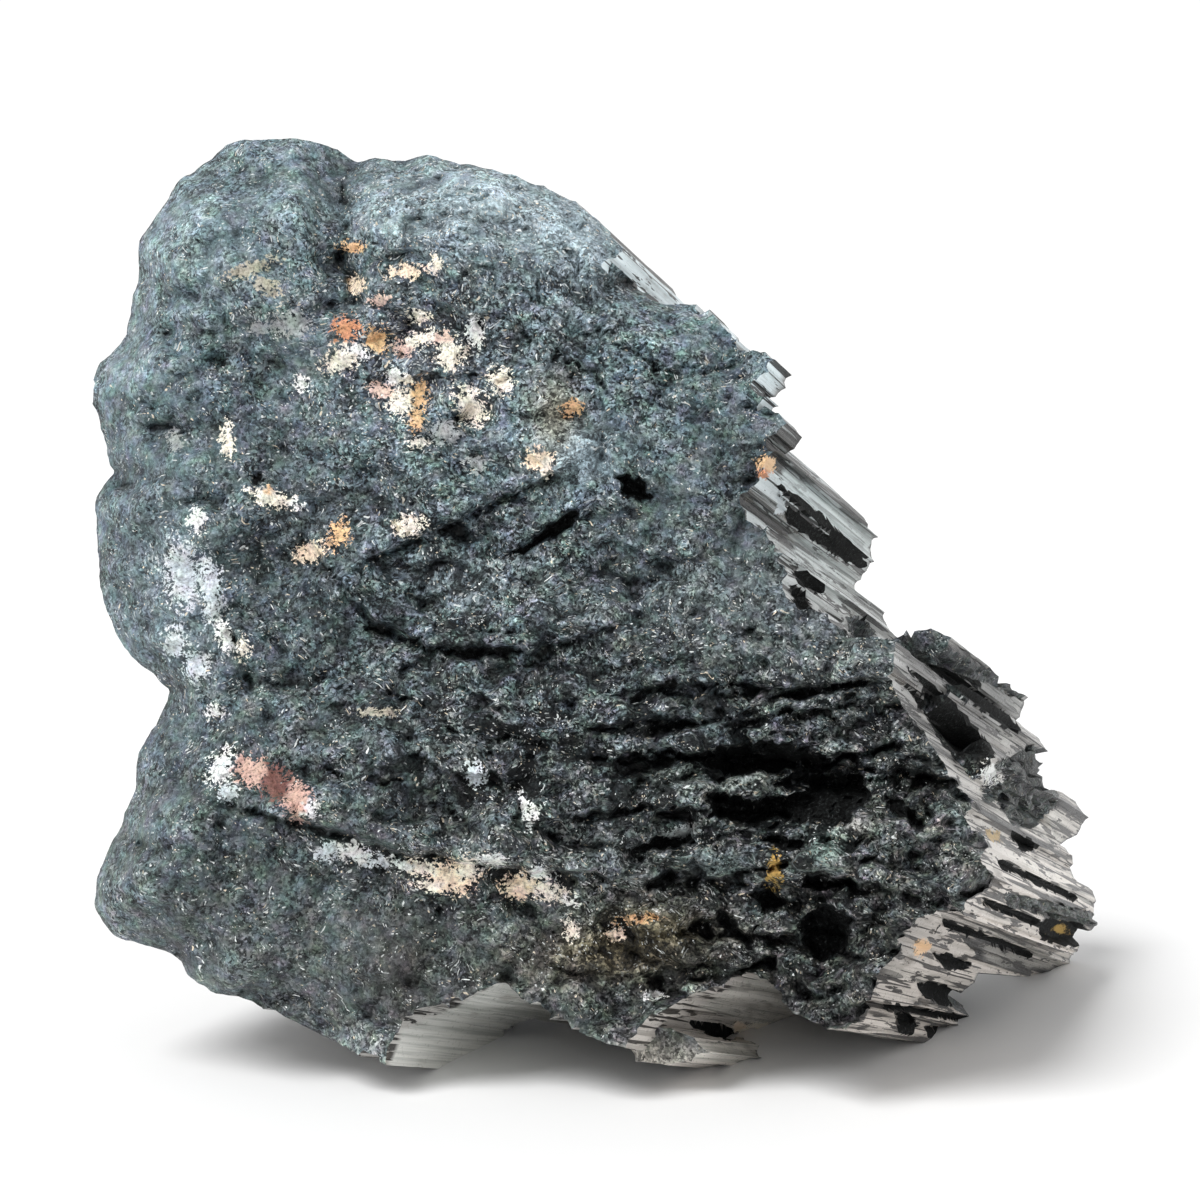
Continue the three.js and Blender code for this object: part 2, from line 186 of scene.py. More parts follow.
# Cracks in the front. Half width, depth: points from left to right
CRACKS = shapes("""
.3 1: -26,1.5 -23,-2 -18,-4.5 -13,-5.7 -7,-5.2 -3.5,-4;  .25 .8: -20,5.5 -13,8.5 -9.5,5.8;
.3 1: -26,-8.8 -18,-10.2;  .35 1.2: -2.8,24.3 -1.4,24.6 .4,20.8;  .5 1: -25.6,45 -25.4,38 -26,32;
.3 .9: 3.5,2.2 5.7,1.8;  .3 .9: 8,-.6 10.5,-1.4;  .35 1.2: 13,-3.2 15,-3;
.4 1.2: -9,34.9 -6.5,34.4 -3.5,34;  .4 1.6: 4,-8.6 9,-8.2 14,-9.4;
.4 1.6: 12,-11.4 18,-11.2 25,-9.6;  .4 1.2: -37.5,-2 -36,-7 -33,-12;  .35 1.2: -4.2,25 -3.2,22.6;
.4 1.4: 8,-18.5 11,-17.8 15,-18.6;  .4 1.4: -2,-12.5 4,-13.2 9,-12.4;
.35 1.2: -30,-16 -24,-18.4 -20,-18;  .35 1.2: -16,-12 -11,-15.5;  .4 1.4: 22,-30 27,-29 32,-27;
.3 1.2: 28,-14 32,-19 34,-24
""")

# Where the bundle breaks off at the back: across, up, length behind the front plane
ENDINGS = table("""
-40 38 34; -30 42 29; -18 40 33; -8 38 27; 2 34 19; 10 26 9; 15 20 6; -44 22 38; -32 24 46; -18 24 42;
-5 24 34; 6 18 27; -45 8 35; -33 6 48; -18 8 54; -4 8 46; 8 10 38; 17.5 13 46; 16 4 50; 23 -1 58;
-44 -14 33; -32 -12 44; -18 -8 58; -2 -8 52; 12 -6 54; 29 -6 64; -44 -28 30; -34 -30 39; -20 -26 48;
-4 -24 58; 10 -24 60; 24 -20 64; 37 -20 64; 38 -28 70; 34 -32 69; 30 -36 44; 25 -42 60; -22 -40 28;
-10 -36 40; 4 -42 50; 14 -38 50
""")

# Single crystals beside the bundle: across, up and behind at the near end, half width,
# half height, roll in degrees and length
CRYSTALS = table("""
31 -5.6 18 4.4 3 20 41; 34 -9.4 15 3.4 2.4 -10 41; 31.5 -12 8 4.2 3 35 52; 35.5 -15.8 7 3.6 3.4 0 55;
1.5 30.5 4 4.6 2.6 -40 21; 14.6 24 -2 2.2 1.9 10 8; 16 17.8 -2 2.1 1.9 0 7; 6.2 -44.6 0 4.6 2 -8 57;
32.5 -31.5 0 3.2 2.4 15 66; -40 -28 18 5 4 20 26; -36 20 30 4.5 5.5 0 22; -14 36 26 5 4 30 14;
-6 4 40 6 5 15 18; 10 -16 46 5.5 4.5 50 16
""")

# Rough breaks across the hidden sides: a point on the break, then the way it faces
BREAKS = table("""
-38 40 78 -.45 .8 .4; -46 34 46 -.75 .65 -.1; -44 26 20 -.8 .5 -.35;
-8 40 90 .1 .75 .66; 14 26 78 .55 .6 .6; 20 60 40 .25 .95 .2;
-46 12 92 -.6 .1 .79; -54 20 66 -.97 .1 .2
""")

# Feldspar and quartz grown into the front: across, up, half width, half height, tilt, kind
GRAINS = table("""
-24.8 35.4 1 .45 0 orange; -19.5 32.9 1.6 .45 5 peach; -16.3 33.6 .4 .8 0 cream;
-24.3 31.5 .7 .7 0 peach; -22 30 .8 .4 10 pink; -18 28.4 .9 .5 0 cream; -25.5 27.1 1 .9 0 rust;
-22.3 26 .9 1.1 0 orange; -25.8 24.1 1.6 .9 20 cream; -24.2 24.8 .9 .5 -30 white;
-19.6 25.2 .8 .6 0 pink; -17.9 26.1 1.5 .6 10 cream; -16 26.1 1 .6 0 pink;
-14.7 25 1.2 .8 -20 cream; -15.3 24.2 1 .8 -40 cream; -12.5 27 .7 1.2 0 white;
-20.7 22.5 .7 .7 0 white; -19.3 22 .9 .3 0 cream; -21.9 20.9 1.2 .5 -20 pink;
-19.9 19.8 1 1.1 30 cream; -18.1 20.5 .7 1.2 0 orange; -18.3 18 .6 .9 0 orange;
-12.9 19.4 1.1 1.6 35 cream; -9.9 21.9 .9 1.1 20 cream; -6.2 14.1 1.1 .8 0 peach;
-29.9 21.7 .5 .7 20 white; -30.9 27.6 1.7 1 0 grey; -34.2 27.2 .9 .6 0 grey;
-35 33.2 2.2 .5 20 dust; -33.2 31.2 1.4 .5 -30 dust; -33 10.2 1.8 .7 -15 cream;
-33.4 10.8 .6 .4 0 orange; -31 9.6 .9 .4 -10 white; -26 6.6 .7 1.1 -20 orange;
-28.9 4.8 1.2 .7 20 peach; -19.2 7.4 1.2 .8 10 cream; -18.3 15.8 .8 .4 0 cream;
-15.6 16.8 1.1 .9 0 grey; -12.4 13.7 .7 1 0 grey; -37.3 16 .5 1.4 0 cream; -40.4 8 .7 1 0 white;
-41.8 2.6 1.4 2.4 10 quartz; -39 1 .9 2.6 5 quartz; -42.5 -4.2 1 1.2 0 quartz;
-40.4 -6.6 .9 1.3 0 quartz; -37.5 -3.6 .6 1.2 20 white; -35.7 -5 .5 .9 0 cream;
-38.5 -11.2 .8 .5 0 white; -38 -16.8 .9 1.5 -20 white; -37.2 -19.2 .7 .8 0 quartz;
-34.8 -17.2 1.5 1 -20 blush; -32.6 -18.2 1.6 1.1 -45 brick; -30.4 -20 1.1 1.6 30 blush;
-29.2 -21 .9 .8 0 white; -27.5 -25.2 .9 .7 0 quartz; -24.5 -25.4 1.6 .7 -15 white;
-22.4 -26.2 1.3 .5 -10 quartz; -19.6 -26.6 1.4 .4 -20 white; -18 -26.8 1.6 .6 -10 cream;
-15 -27.8 1.9 1.2 -10 peach; -17 -28.6 1.3 .5 0 cream; -13.4 -27 .8 1 0 cream;
-10.8 -26 1.2 .5 0 white; -7.8 -28.6 1.5 1 10 peach; -5.4 -29.2 1.6 .7 -15 cream;
-6.2 -27.4 .9 .6 0 white; -3 -30.2 1 .4 -10 white; -12.5 -17.5 .7 1 20 quartz;
-7.6 -20.8 .3 1.6 15 white; -6.6 -21.6 .3 1.2 -35 white; -3 -33 .6 .9 10 cream;
1.5 -33.5 .7 .6 0 peach; 3.9 -32 1.7 .3 5 orange; 17.5 -27 .5 1.4 0 gold;
5.6 -39.6 .8 .35 0 white; 16.8 13.6 .8 .7 -30 orange; 16.6 12.6 .5 .5 0 rust;
-22 -11.3 1.8 .3 0 dust; -20.5 22.6 .5 .5 0 white; 39.1 -17.3 .9 .9 0 white;
32.2 -34.8 .7 .8 0 orange; 46 -33 1 .6 0 gold; 39.4 -23.6 .9 .4 -40 gold;
15.7 -43.2 2.4 .8 -6 cream; 13.9 -42.8 .7 .5 0 peach; 18.1 9.4 .4 1.1 0 quartz;
-42.5 16 .5 1 0 grey; 8.2 -23.3 1.4 .5 12 grey; -2.6 19.2 .8 .6 0 orange; -5.6 13.6 .6 .9 10 cream
""")
GRAIN_COLORS = {kind: color for *color, kind in table("""
.84 .86 .84 white; .9 .84 .73 cream; .9 .74 .58 peach; .8 .53 .3 orange;
.66 .31 .18 rust; .74 .55 .47 pink; .64 .43 .36 blush; .21 .1 .085 brick;
.62 .68 .71 quartz; .34 .37 .37 grey; .44 .42 .34 dust; .5 .33 .1 gold
""")}

# Recesses and slots in the crystal faces, cut in and painted black as shade. Depth: the corners
RECESSES = shapes("""
.6: 31.2,-5.2 34,-6.8 38.5,-10.2 38.1,-10.4 33.8,-7.4;
.6: 30.8,-6.8 33,-8.4 35.8,-10.8 35.4,-11.1 32.8,-9;
.6: 30.6,-8.4 32.4,-10.2 34.5,-12.8 34,-12.9 32.2,-10.8;
.7: 18,11.4 19.6,10.3 22.2,8.4 24.5,6.1 26.8,4.1 25.8,4.4 23.6,6.2 21.8,7.9 19,10.2;
.8: 19,9.3 21.6,7.1 23.6,5.4 25.8,3.7 24.5,4 21.2,6.3 18.9,7.7;
.9: 19.4,2.7 20.6,2.6 22.3,1.2 22,.7 20.5,1.4;  .9: 19.1,1.1 20,.8 21.1,-.8 20.8,-1.7 19.8,-.6;
.7: 25,-1.9 26.2,-2 27.1,-3.2 26.6,-4.2 25.4,-3.4;
2.4: 32.6,-9 34,-9.7 35.8,-11.3 38,-13.8 39,-15.2 38.4,-16.8 36.6,-16.2 34.8,-14.4 33.4,-12.2;
.9: 32.5,-6.2 35,-7.2 38.5,-10 42,-12.8 41.6,-13.2 38,-10.8 34.8,-8;
1.5: 35.2,-14.2 36.6,-14.8 38,-16.4 37.7,-17.6 36.2,-16.2;
1.2: 40.3,-16.2 41,-16 41.7,-17.5 41.2,-18.8 40.4,-18.2;
.9: 41,-23.3 42.6,-23.8 43.6,-24.7 42.4,-25.1;
1.2: 44,-32.5 45.6,-31.6 47.8,-32.2 49,-33.4 48.6,-34.4 46.2,-34.4 44.4,-33.8;
.9: 33.4,-35.5 35,-35.7 37,-36.5 36.2,-37 34.4,-36.6;
.9: 31.8,-38.4 34,-38.5 36.2,-39.6 35.5,-40.5 33.8,-40.3 32.4,-39.6;
.8: 29.7,-41.5 30.6,-41.4 31.6,-42.2 31,-43.4 30,-43.2;
.7: 32.6,-42.8 34.4,-43 36.2,-43.7 35,-44.2 33,-43.8;
1.2: 9,-42.3 12,-42.8 13.4,-43.2 13.2,-43.9 11.2,-43.4;
.6: 19.8,8.6 23,6.2 26.6,3.6 26.2,3.4 22.6,5.6 19.4,7.9;
.6: 31,-2.9 34.5,-5.4 38,-8.3 37.7,-8.7 34,-6 30.8,-3.6;
.6: 40,-26.1 44,-27.9 47.8,-29.8 47.4,-30.1 43.8,-28.4 40,-26.6;
.6: 38.5,-29.9 44,-32.1 43.8,-32.6 38.5,-30.5;
.6: 34.5,-32 40,-34.1 43.2,-35.3 43,-35.8 39.5,-34.5 34.5,-32.6;
.5: 28.5,-40.5 33,-41.1 37.6,-41.9 37.4,-42.2 32.5,-41.5 28.5,-40.9
""")

# Broad tints of the front: across, up, reach across, reach up, strength, then the colour
TINTS = table("""
6.2 -45.6 4.2 1.3 1 .4 .41 .385; -20 -37 3.5 6 .5 .095 .085 .08; -18 25 9 5 .5 .085 .078 .1;
-29 8 7 5 .35 .075 .08 .085; -12 39 13 4.5 .6 .24 .265 .275; -2 34 5 7 .5 .22 .245 .255;
-40 38 10 8 .25 .16 .19 .2; -1.5 14.5 3.2 2.4 .9 .24 .28 .3;
-4.5 18.5 2.2 3.8 .75 .25 .215 .15; 22.5 -24.6 1.9 2 .9 .16 .24 .22;
25.6 -22.6 1.6 .8 .95 .26 .27 .26; 11.5 -26.5 3.4 1.3 .7 .16 .22 .23;
13.8 -33.6 1.2 .6 .9 .24 .25 .24; 5 -33 7 3.2 .75 .135 .12 .07;
0 -36 9 2.6 .65 .16 .14 .09; 1.2 -24.6 3.5 2 .5 .15 .18 .18; 7.5 -17.5 3 1.6 .6 .14 .17 .15;
15 -18.2 3.4 1 .7 .17 .2 .18; -43 3 5 10 .35 .2 .23 .25; 12 0 10 6 .3 .16 .175 .18;
-14 2 8 3 .35 .2 .22 .23; -30 -36 12 6 .15 .15 .16 .16; 24 4 6 14 .25 .17 .185 .19;
-16 -14.5 6 4 .3 .11 .13 .13
""")

# Rough broken patches in the crystal faces. Strength: the corners
ROUGH = shapes("""
1: 39.8,-16.5 41,-15.8 43.2,-14.5 45,-15.3 46,-18 45.8,-20.3 43.2,-22.9 41.3,-22.5 39.8,-20.3;
1: 30.7,-4.2 33.5,-4.2 37.2,-6.2 41.3,-8.1 42.4,-9.8 40.9,-9.3 38.7,-8.2 36.4,-7.5 34.2,-6.8 31.6,-5.7;
1: 40.5,-29.3 45,-30.3 49.5,-31.4 50.1,-32.6 46,-32 40.8,-30.6;
1: 24.6,-1.6 26.2,-1.7 27.6,-3.4 26.6,-4.4 25.2,-3.8;
1: 38.5,-17.8 40,-17.2 40,-20 38.4,-20.3
""")

# Smooth crystal faces that catch the light, drawn lighter as painted reflection of the bright floor and
# surroundings. Strength: the corners
PAINTED_REFLECTION_FACES = shapes("""
.75: 18.4,13.2 21.2,11.3 27.4,6.2 28,4.8 27.1,3.8 24.5,6 22.2,8.1 19.7,10.3 17.9,11.7;
.45: 18.9,7.3 25,3.7 27.4,2.9 30.9,-3.4 26.2,-2.2 22,1 19.3,4;
1: -21.5,-47.5 -20,-43.2 -13,-40 -10,-38 -7.5,-38.5 -3,-43 -8,-47.5;
.55: 36.8,-7.2 42.5,-10.2 42.8,-12.2 40.8,-14.2 38.5,-11.8 36.2,-9.4;
.8: 10,-40.8 13.5,-38.5 16.5,-37.6 20,-40.3 23.8,-43.1 17.8,-43 14,-42;
.9: 4,-45.2 10,-44.2 18.1,-44.4 17.2,-45.7 13.3,-46.3 5.6,-45.6;
.4: 40,-20 46,-21.2 48,-25.2 44,-23.8 40,-22;  .4: 41,-25.2 48,-28 50.2,-30.7 45,-29.3 41,-27.2;
.35: 37.5,-32.5 44,-35 48,-36.2 45,-36.8 39,-36.8;  .35: 28.5,-36.2 37.5,-38.7 37.6,-40 28.5,-37.5;
.4: 15.2,25.5 17.2,24 17.2,20.8 16.2,22.8
""")

# Painted shade and, below nothing, painted light: darker and lighter parts of the front, across, up,
# reach across, reach up, strength
SHADES = table("""
20 -20 19 13 .45; 26 -33 8 8 .5; 4 -22 8 7 .3; -6 6 6 3 .35; -16 -3.5 9 2.6 .4; -22 30 7 5 .15;
8 -38 16 5 .3; -16 -23 12 3 .4; -28 2 6 4 .25; -20 -40 14 4 .25; -12 -16 14 7 .25;
36 -6.3 6 1.8 .5; 43.5 -17.3 2.6 2.6 .6; -14 -33 4 5 .4; -4 23 2 4 .45; -13 27 8 5 .2;
-24 9 9 3 .35; -40 -30 12 12 .3; -42 17 6 6 .2; 38 -11 4.5 3.2 .65; 32.5 -7.5 2.5 3 .5;
-12 -17 9 6 .25; -41 14 10 14 .12; -8 20 16 10 -.14; -4 2 12 8 -.18; 2 -34 10 5 -.2;
45 -29 9 8 -.3; 33 -41 7 4 -.35; 24 5 6 8 -.2; -19 -37 3.5 6 .3
""")

# Where the front is most broken: across, up, reach across, reach up, strength
WILD = table("""
-14 3 17 13 .8; -8 -15 22 11 1; 20 -20 22 16 1; 2 -36 14 6 .7; -14 25 14 9 .7; -1 24 8 7 .5;
24 -34 10 8 .8
""")

# Where the bright chips, painted glints off cleavage faces, lie thickest: across, up, reach across,
# reach up, strength
SPARKLES = table("""
-20 25 13 12 .9; -14 -26.5 18 4 .9; -38 0 6 14 .7; -14 -13 8 8 .4; -10 38 16 8 .8; 12 -4 13 5 .4;
2 -32 12 4 .5; 20 -20 18 14 .5; -10 2 12 7 .35; 14 24 6 5 .5; 27 -8 8 5 .5
""")


# Places and directions


def seen(across, up, behind):
    """Places seen at (across, up), so far behind the front plane, as rows of x, y, z in mm."""
    across, up, behind = np.broadcast_arrays(across, up, behind)
    ahead = EYE_DISTANCE + behind
    lift = up * ahead / EYE_DISTANCE
    return np.stack([
        across * ahead / EYE_DISTANCE,
        ahead * EYE_COS + lift * EYE_SIN - EYE_DISTANCE * EYE_COS,
        EYE_HEIGHT - ahead * EYE_SIN + lift * EYE_COS,
    ], axis=-1)


def as_seen(points):
    """The reverse of seen(): where points are seen, and how far behind the front plane."""
    x, y, z = np.moveaxis(points - EYE, -1, 0)
    ahead = y * EYE_COS - z * EYE_SIN
    lift = y * EYE_SIN + z * EYE_COS
    scale = EYE_DISTANCE / ahead
    return x * scale, lift * scale, ahead - EYE_DISTANCE


def across_crystals(points):
    return np.stack([points @ SIDE, points @ RISE], axis=-1)


def place_across(x, y, z):
    """Points at x, y across the crystals and z towards the viewer along them."""
    return x[..., None] * SIDE + y[..., None] * RISE + np.asarray(z)[..., None] * NEAR


def front_grid(pitch):
    """Places all over the front plane, pitch mm apart."""
    return np.meshgrid(np.arange(-FRONT_WIDTH / 2, FRONT_WIDTH / 2, pitch),
                       np.arange(-FRONT_HEIGHT / 2, FRONT_HEIGHT / 2, pitch))


# Repeatable noise


def scatter(ix, iy, seed):
    """A fixed random number from 0 to 1 for each whole-number cell."""
    h = (ix.astype(np.int64) * 374761393 + iy.astype(np.int64) * 668265263
         + int(seed * 10) * 1274126177) & 0xFFFFFFFF
    h = ((h ^ (h >> 13)) * 1103515245) & 0xFFFFFFFF
    h = ((h ^ (h >> 16)) * 2654435761) & 0xFFFFFFFF
    return ((h ^ (h >> 15)) & 0xFFFFFF) / float(0xFFFFFF)


def noise(x, y, seed, size=1.0):
    """Smooth noise from about -1 to 1, with lumps of about this size."""
    x, y = x / size, y / size
    ix, iy = np.floor(x), np.floor(y)
    fx, fy = x - ix, y - iy
    total = np.zeros_like(fx)
    wx = fx * fx * fx * (fx * (fx * 6 - 15) + 10)
    wy = fy * fy * fy * (fy * (fy * 6 - 15) + 10)
    for dx in (0, 1):
        for dy in (0, 1):
            angle = 2 * math.pi * scatter(ix + dx, iy + dy, seed)
            slope = (fx - dx) * np.cos(angle) + (fy - dy) * np.sin(angle)
            total += slope * (wx if dx else 1 - wx) * (wy if dy else 1 - wy)
    return total * 1.5


def ragged(u, v, seed, *waves):
    """Places shifted by noise. Each wave has its size and how far it shifts across and up."""
    moved = [u, v]
    for axis in (0, 1):
        for k, (size, *reach) in enumerate(waves):
            wave = noise(u, v, seed + axis * len(waves) + k, size)
            moved[axis] = moved[axis] + reach[axis] * wave
    return moved


def grains_near(x, y, seed, spread):
    """The nine grains round each place: the way from each to the place, its height and slope."""
    ix, iy = np.floor(x), np.floor(y)
    for dx in (-1, 0, 1):
        for dy in (-1, 0, 1):
            cx, cy = ix + dx, iy + dy
            px = x - cx - 0.5 - spread * (scatter(cx, cy, seed) - 0.5)
            py = y - cy - 0.5 - spread * (scatter(cx, cy, seed + 1) - 0.5)
            angle = 2 * math.pi * scatter(cx, cy, seed + 2)
            yield px, py, scatter(cx, cy, seed + 3), px * np.cos(angle) + py * np.sin(angle)


def facets(x, y, seed, tilt):
    """Broken facets: cells of random height, each tilted its own way."""
    nearest = np.full(np.shape(x), 9.0)
    height = np.zeros_like(nearest)
    for px, py, own, slope in grains_near(x, y, seed, 1.0):
        distance = np.hypot(px, py)
        height = np.where(distance < nearest, own - 0.5 + tilt * slope, height)
        nearest = np.minimum(distance, nearest)
    return height


def pebbles(x, y, seed, tilt):
    """Close-packed crystal grains: the upper edge of one tilted, domed facet for each cell."""
    best = np.full(np.shape(x), -9.0)
    for px, py, own, slope in grains_near(x, y, seed, 0.9):
        best = np.maximum(best, 0.6 * own + tilt * slope - ROUND_OFF * (px * px + py * py))
    return best


def smooth(edge0, edge1, x):
    t = np.clip((x - edge0) / (edge1 - edge0), 0, 1)
    return t * t * (3 - 2 * t)


# Named places as seen from the front


def spot(u, v, x, y, reach_x, reach_y):
    """1 in the middle of a spot, falling smoothly to nothing."""
    return np.exp(-((u - x) / reach_x) ** 2 - ((v - y) / reach_y) ** 2)


def zone(u, v, spots):
    """How far a place is in any of the spots, from 0 to 1."""
    outside = np.ones(np.shape(u))
    for *place, strength in spots:
        outside *= 1 - strength * spot(u, v, *place)
    return 1 - outside


def beside_line(u, v, line):
    """Distance to a chain of points, and whether each place is above the chain."""
    nearest = np.full(np.shape(u), 1e9)
    above = np.zeros(np.shape(u), bool)
    for (x0, y0), (x1, y1) in zip(line[:-1], line[1:]):
        dx, dy = x1 - x0, y1 - y0
        t = np.clip(((u - x0) * dx + (v - y0) * dy) / (dx * dx + dy * dy), 0, 1)
        distance = np.hypot(u - x0 - t * dx, v - y0 - t * dy)
        above = np.where(distance < nearest, dx * (v - y0) - dy * (u - x0) > 0, above)
        nearest = np.minimum(distance, nearest)
    return nearest, above


def enclosed(u, v, corners):
    """Whether each place lies inside a shape."""
    inside = np.zeros(np.shape(u), bool)
    for (x0, y0), (x1, y1) in zip(corners, corners[1:] + corners[:1]):
        if y0 != y1:
            inside ^= ((y0 > v) != (y1 > v)) & (u < (x1 - x0) * (v - y0) / (y1 - y0) + x0)
    return inside


def within(u, v, corners):
    """Distance to the edge of a shape, positive inside it."""
    distance = beside_line(u, v, corners + corners[:1])[0]
    return np.where(enclosed(u, v, corners), distance, -distance)


def in_shapes(u, v, outlines, outer, inner):
    """The largest number of the shapes round each place, rising from outer to inner."""
    most = np.zeros(np.shape(u))
    for number, corners in outlines:
        most = np.maximum(most, number * smooth(outer, inner, within(u, v, corners)))
    return most


# The broken front


def main_relief(u, v):
    """How far behind the front plane the broken front lies, without its fine relief."""
    behind = 2 - 0.11 * u + 0.12 * v
    distance = beside_line(u, v, TOP_EDGE + LEFT_EDGE)[0]
    inside = enclosed(u, v, TOP_EDGE + LEFT_EDGE + OPEN_SIDE)
    behind += np.where(inside, 6 * np.exp(-distance / 3.2), 6 + 2 * distance)
    for *place, height in SWELLS:
        behind -= height * spot(u, v, *place)
    wobble = 0.5 * noise(u, v, 3, 2.2)
    for step, reach, line in LEDGES:
        distance, above = beside_line(u + wobble, v + wobble, line)
        rise = 0.3 * reach
        raised = -step * (0.25 + 0.75 * distance / rise * np.exp(1 - distance / rise))
        raised *= np.exp(-distance / reach)
        behind += np.where(above, raised, step * 0.3 * np.exp(-distance / 2))
    return behind


def hollow_relief(u, v):
    """Depth of the black hollows and the cracks."""
    place = ragged(u, v, 71, (1.3, 0.5, 0.4), (0.6, 0.25, 0.2))
    deep = in_shapes(*place, PITS, -0.25, 0.6)
    open_here = smooth(-0.3, 0.5, noise(u, v, 75, 2.8))
    for half_width, depth, line in CRACKS:
        groove = np.exp(-(beside_line(*place, line)[0] / half_width) ** 2)
        deep = np.maximum(deep, depth * open_here * groove)
    return deep


def front_relief(u, v):
    """The main relief with the hackly facets and grain of the break."""
    jagged = smooth(-4, 9, u) * smooth(-5, -12, v)
    calm = 0.45 + 0.55 * smooth(-0.4, 0.5, noise(u, v, 20, 12))
    bend_u, bend_v = ragged(u, v, 11, (2.6, 0.7, 0.7))
    behind = main_relief(u, v) + 1.0 * noise(u, v, 1, 8) + 0.5 * noise(u, v, 2, 3.6)
    behind -= calm * 2.6 * pebbles(bend_u / 6.4, bend_v / 4.4, 4, 1.1)
    behind -= calm * 1.25 * pebbles(bend_u / 2.7, bend_v / 2.0, 8, 1.1)
    behind -= (0.4 + 0.25 * calm) * pebbles(u / 1.1, v / 0.9, 14, 1.1)
    sheets = facets(bend_u / 5.2 + 0.2 * noise(u, v, 26, 5), bend_v / 2.1 - 0.05 * u, 24, 0.6)
    chips = pebbles(bend_u / 2.8, bend_v / 1.1, 28, 1.2)
    behind += jagged * (2.2 * sheets - 1.3 * chips)
    steps = facets(bend_u / 5.5 + 0.2 * bend_v, bend_v / 2.9 - 0.06 * u, 17, 0.9)
    behind += 1.5 * zone(u, v, WILD) * steps
    rim = beside_line(u, v, TOP_EDGE)[0]
    dome = smooth(-27, -20, u) * smooth(13, 7, rim) * smooth(0, 1.2, rim)
    waves = np.abs(noise((rim + 0.6 * noise(u, v, 51, 3)) / 0.75, (u - v) / 9, 52))
    return behind + dome * (1.2 * waves - 0.4) + hollow_relief(u, v)


def blurred(grid, reach):
    """A grid of values smoothed over so many cells each way."""
    weight = np.exp(-(np.arange(-2 * reach, 2 * reach + 1) / reach) ** 2)
    weight = weight / weight.sum()
    for axis in (0, 1):
        grid = np.apply_along_axis(lambda row: np.convolve(
            np.pad(row, 2 * reach, "edge"), weight, "valid"), axis, grid)
    return grid


def sunken(u, v, *reaches):
    """How much deeper each place lies than the front round it, for each reach in mm."""
    grid_u, grid_v = front_grid(BLUR_PITCH)
    relief = front_relief(grid_u, grid_v)
    column = np.clip((u - grid_u[0, 0]) / BLUR_PITCH, 0, relief.shape[1] - 1.001)
    row = np.clip((v - grid_v[0, 0]) / BLUR_PITCH, 0, relief.shape[0] - 1.001)
    c, r = column.astype(int), row.astype(int)
    fc, fr = column - c, row - r
    for reach in reaches:
        local = relief - blurred(relief, int(reach / BLUR_PITCH))
        upper = local[r, c] * (1 - fc) + local[r, c + 1] * fc
        lower = local[r + 1, c] * (1 - fc) + local[r + 1, c + 1] * fc
        yield upper * (1 - fr) + lower * fr


# Meshes, in mm until the end


def mesh_object(name, points, faces, material_index):
    """A closed mesh object whose faces all have one material."""
    mesh = bpy.data.meshes.new(name)
    mesh.from_pydata(points.tolist(), [], faces)
    mesh.update()
    for material in MATERIALS:
        mesh.materials.append(material)
    numbers = np.full(len(mesh.polygons), material_index, np.int32)
    mesh.polygons.foreach_set("material_index", numbers)
    shape = bpy.data.objects.new(name, mesh)
    bpy.context.scene.collection.objects.link(shape)
    edit = bmesh.new()
    edit.from_mesh(mesh)
    bmesh.ops.recalc_face_normals(edit, faces=edit.faces)
    if edit.calc_volume(signed=True) < 0:
        bmesh.ops.reverse_faces(edit, faces=edit.faces)
    bmesh.ops.triangulate(edit, faces=edit.faces)
    edit.to_mesh(mesh)
    edit.free()
    return shape


def combine(body, tool, operation):
    """Joins, cuts or trims body with tool, and removes the tool."""
    modifier = body.modifiers.new("combine", "BOOLEAN")
    modifier.operation = operation
    modifier.solver = "MANIFOLD"
    modifier.object = tool
    graph = bpy.context.evaluated_depsgraph_get()
    mesh = bpy.data.meshes.new_from_object(body.evaluated_get(graph))
    body.modifiers.clear()
    spent = body.data, tool.data
    body.data = mesh
    bpy.data.objects.remove(tool)
    for old in spent:
        bpy.data.meshes.remove(old)
    return body


def grid_block(name, front, far):
    """A block between a relief, given as a grid of points, and a flat far side."""
    index = np.arange(front[..., 0].size).reshape(front.shape[:2])
    quads = np.stack([index[:-1, :-1], index[:-1, 1:], index[1:, 1:], index[1:, :-1]], axis=-1)
    ring = np.concatenate([index[0, :-1], index[:-1, -1], index[-1, :0:-1], index[:0:-1, 0]])
    rim = index.size + np.arange(len(ring))
    walls = np.stack([np.roll(ring, -1), ring, rim, np.roll(rim, -1)], axis=-1)
    faces = quads.reshape(-1, 4).tolist() + walls.tolist() + [rim.tolist()]
    points = np.concatenate([front.reshape(-1, 3), far.reshape(-1, 3)[ring]])
    return mesh_object(name, points, faces, BROKEN)


def front_block():
    u, v = front_grid(FRONT_PITCH)
    rows, columns = np.indices(u.shape)
    u = u + 0.6 * FRONT_PITCH * (scatter(columns, rows, 5) - 0.5)
    v = v + 0.6 * FRONT_PITCH * (scatter(columns, rows, 6) - 0.5)
    return grid_block("front", seen(u, v, front_relief(u, v)), seen(u, v, REACH_BACK))


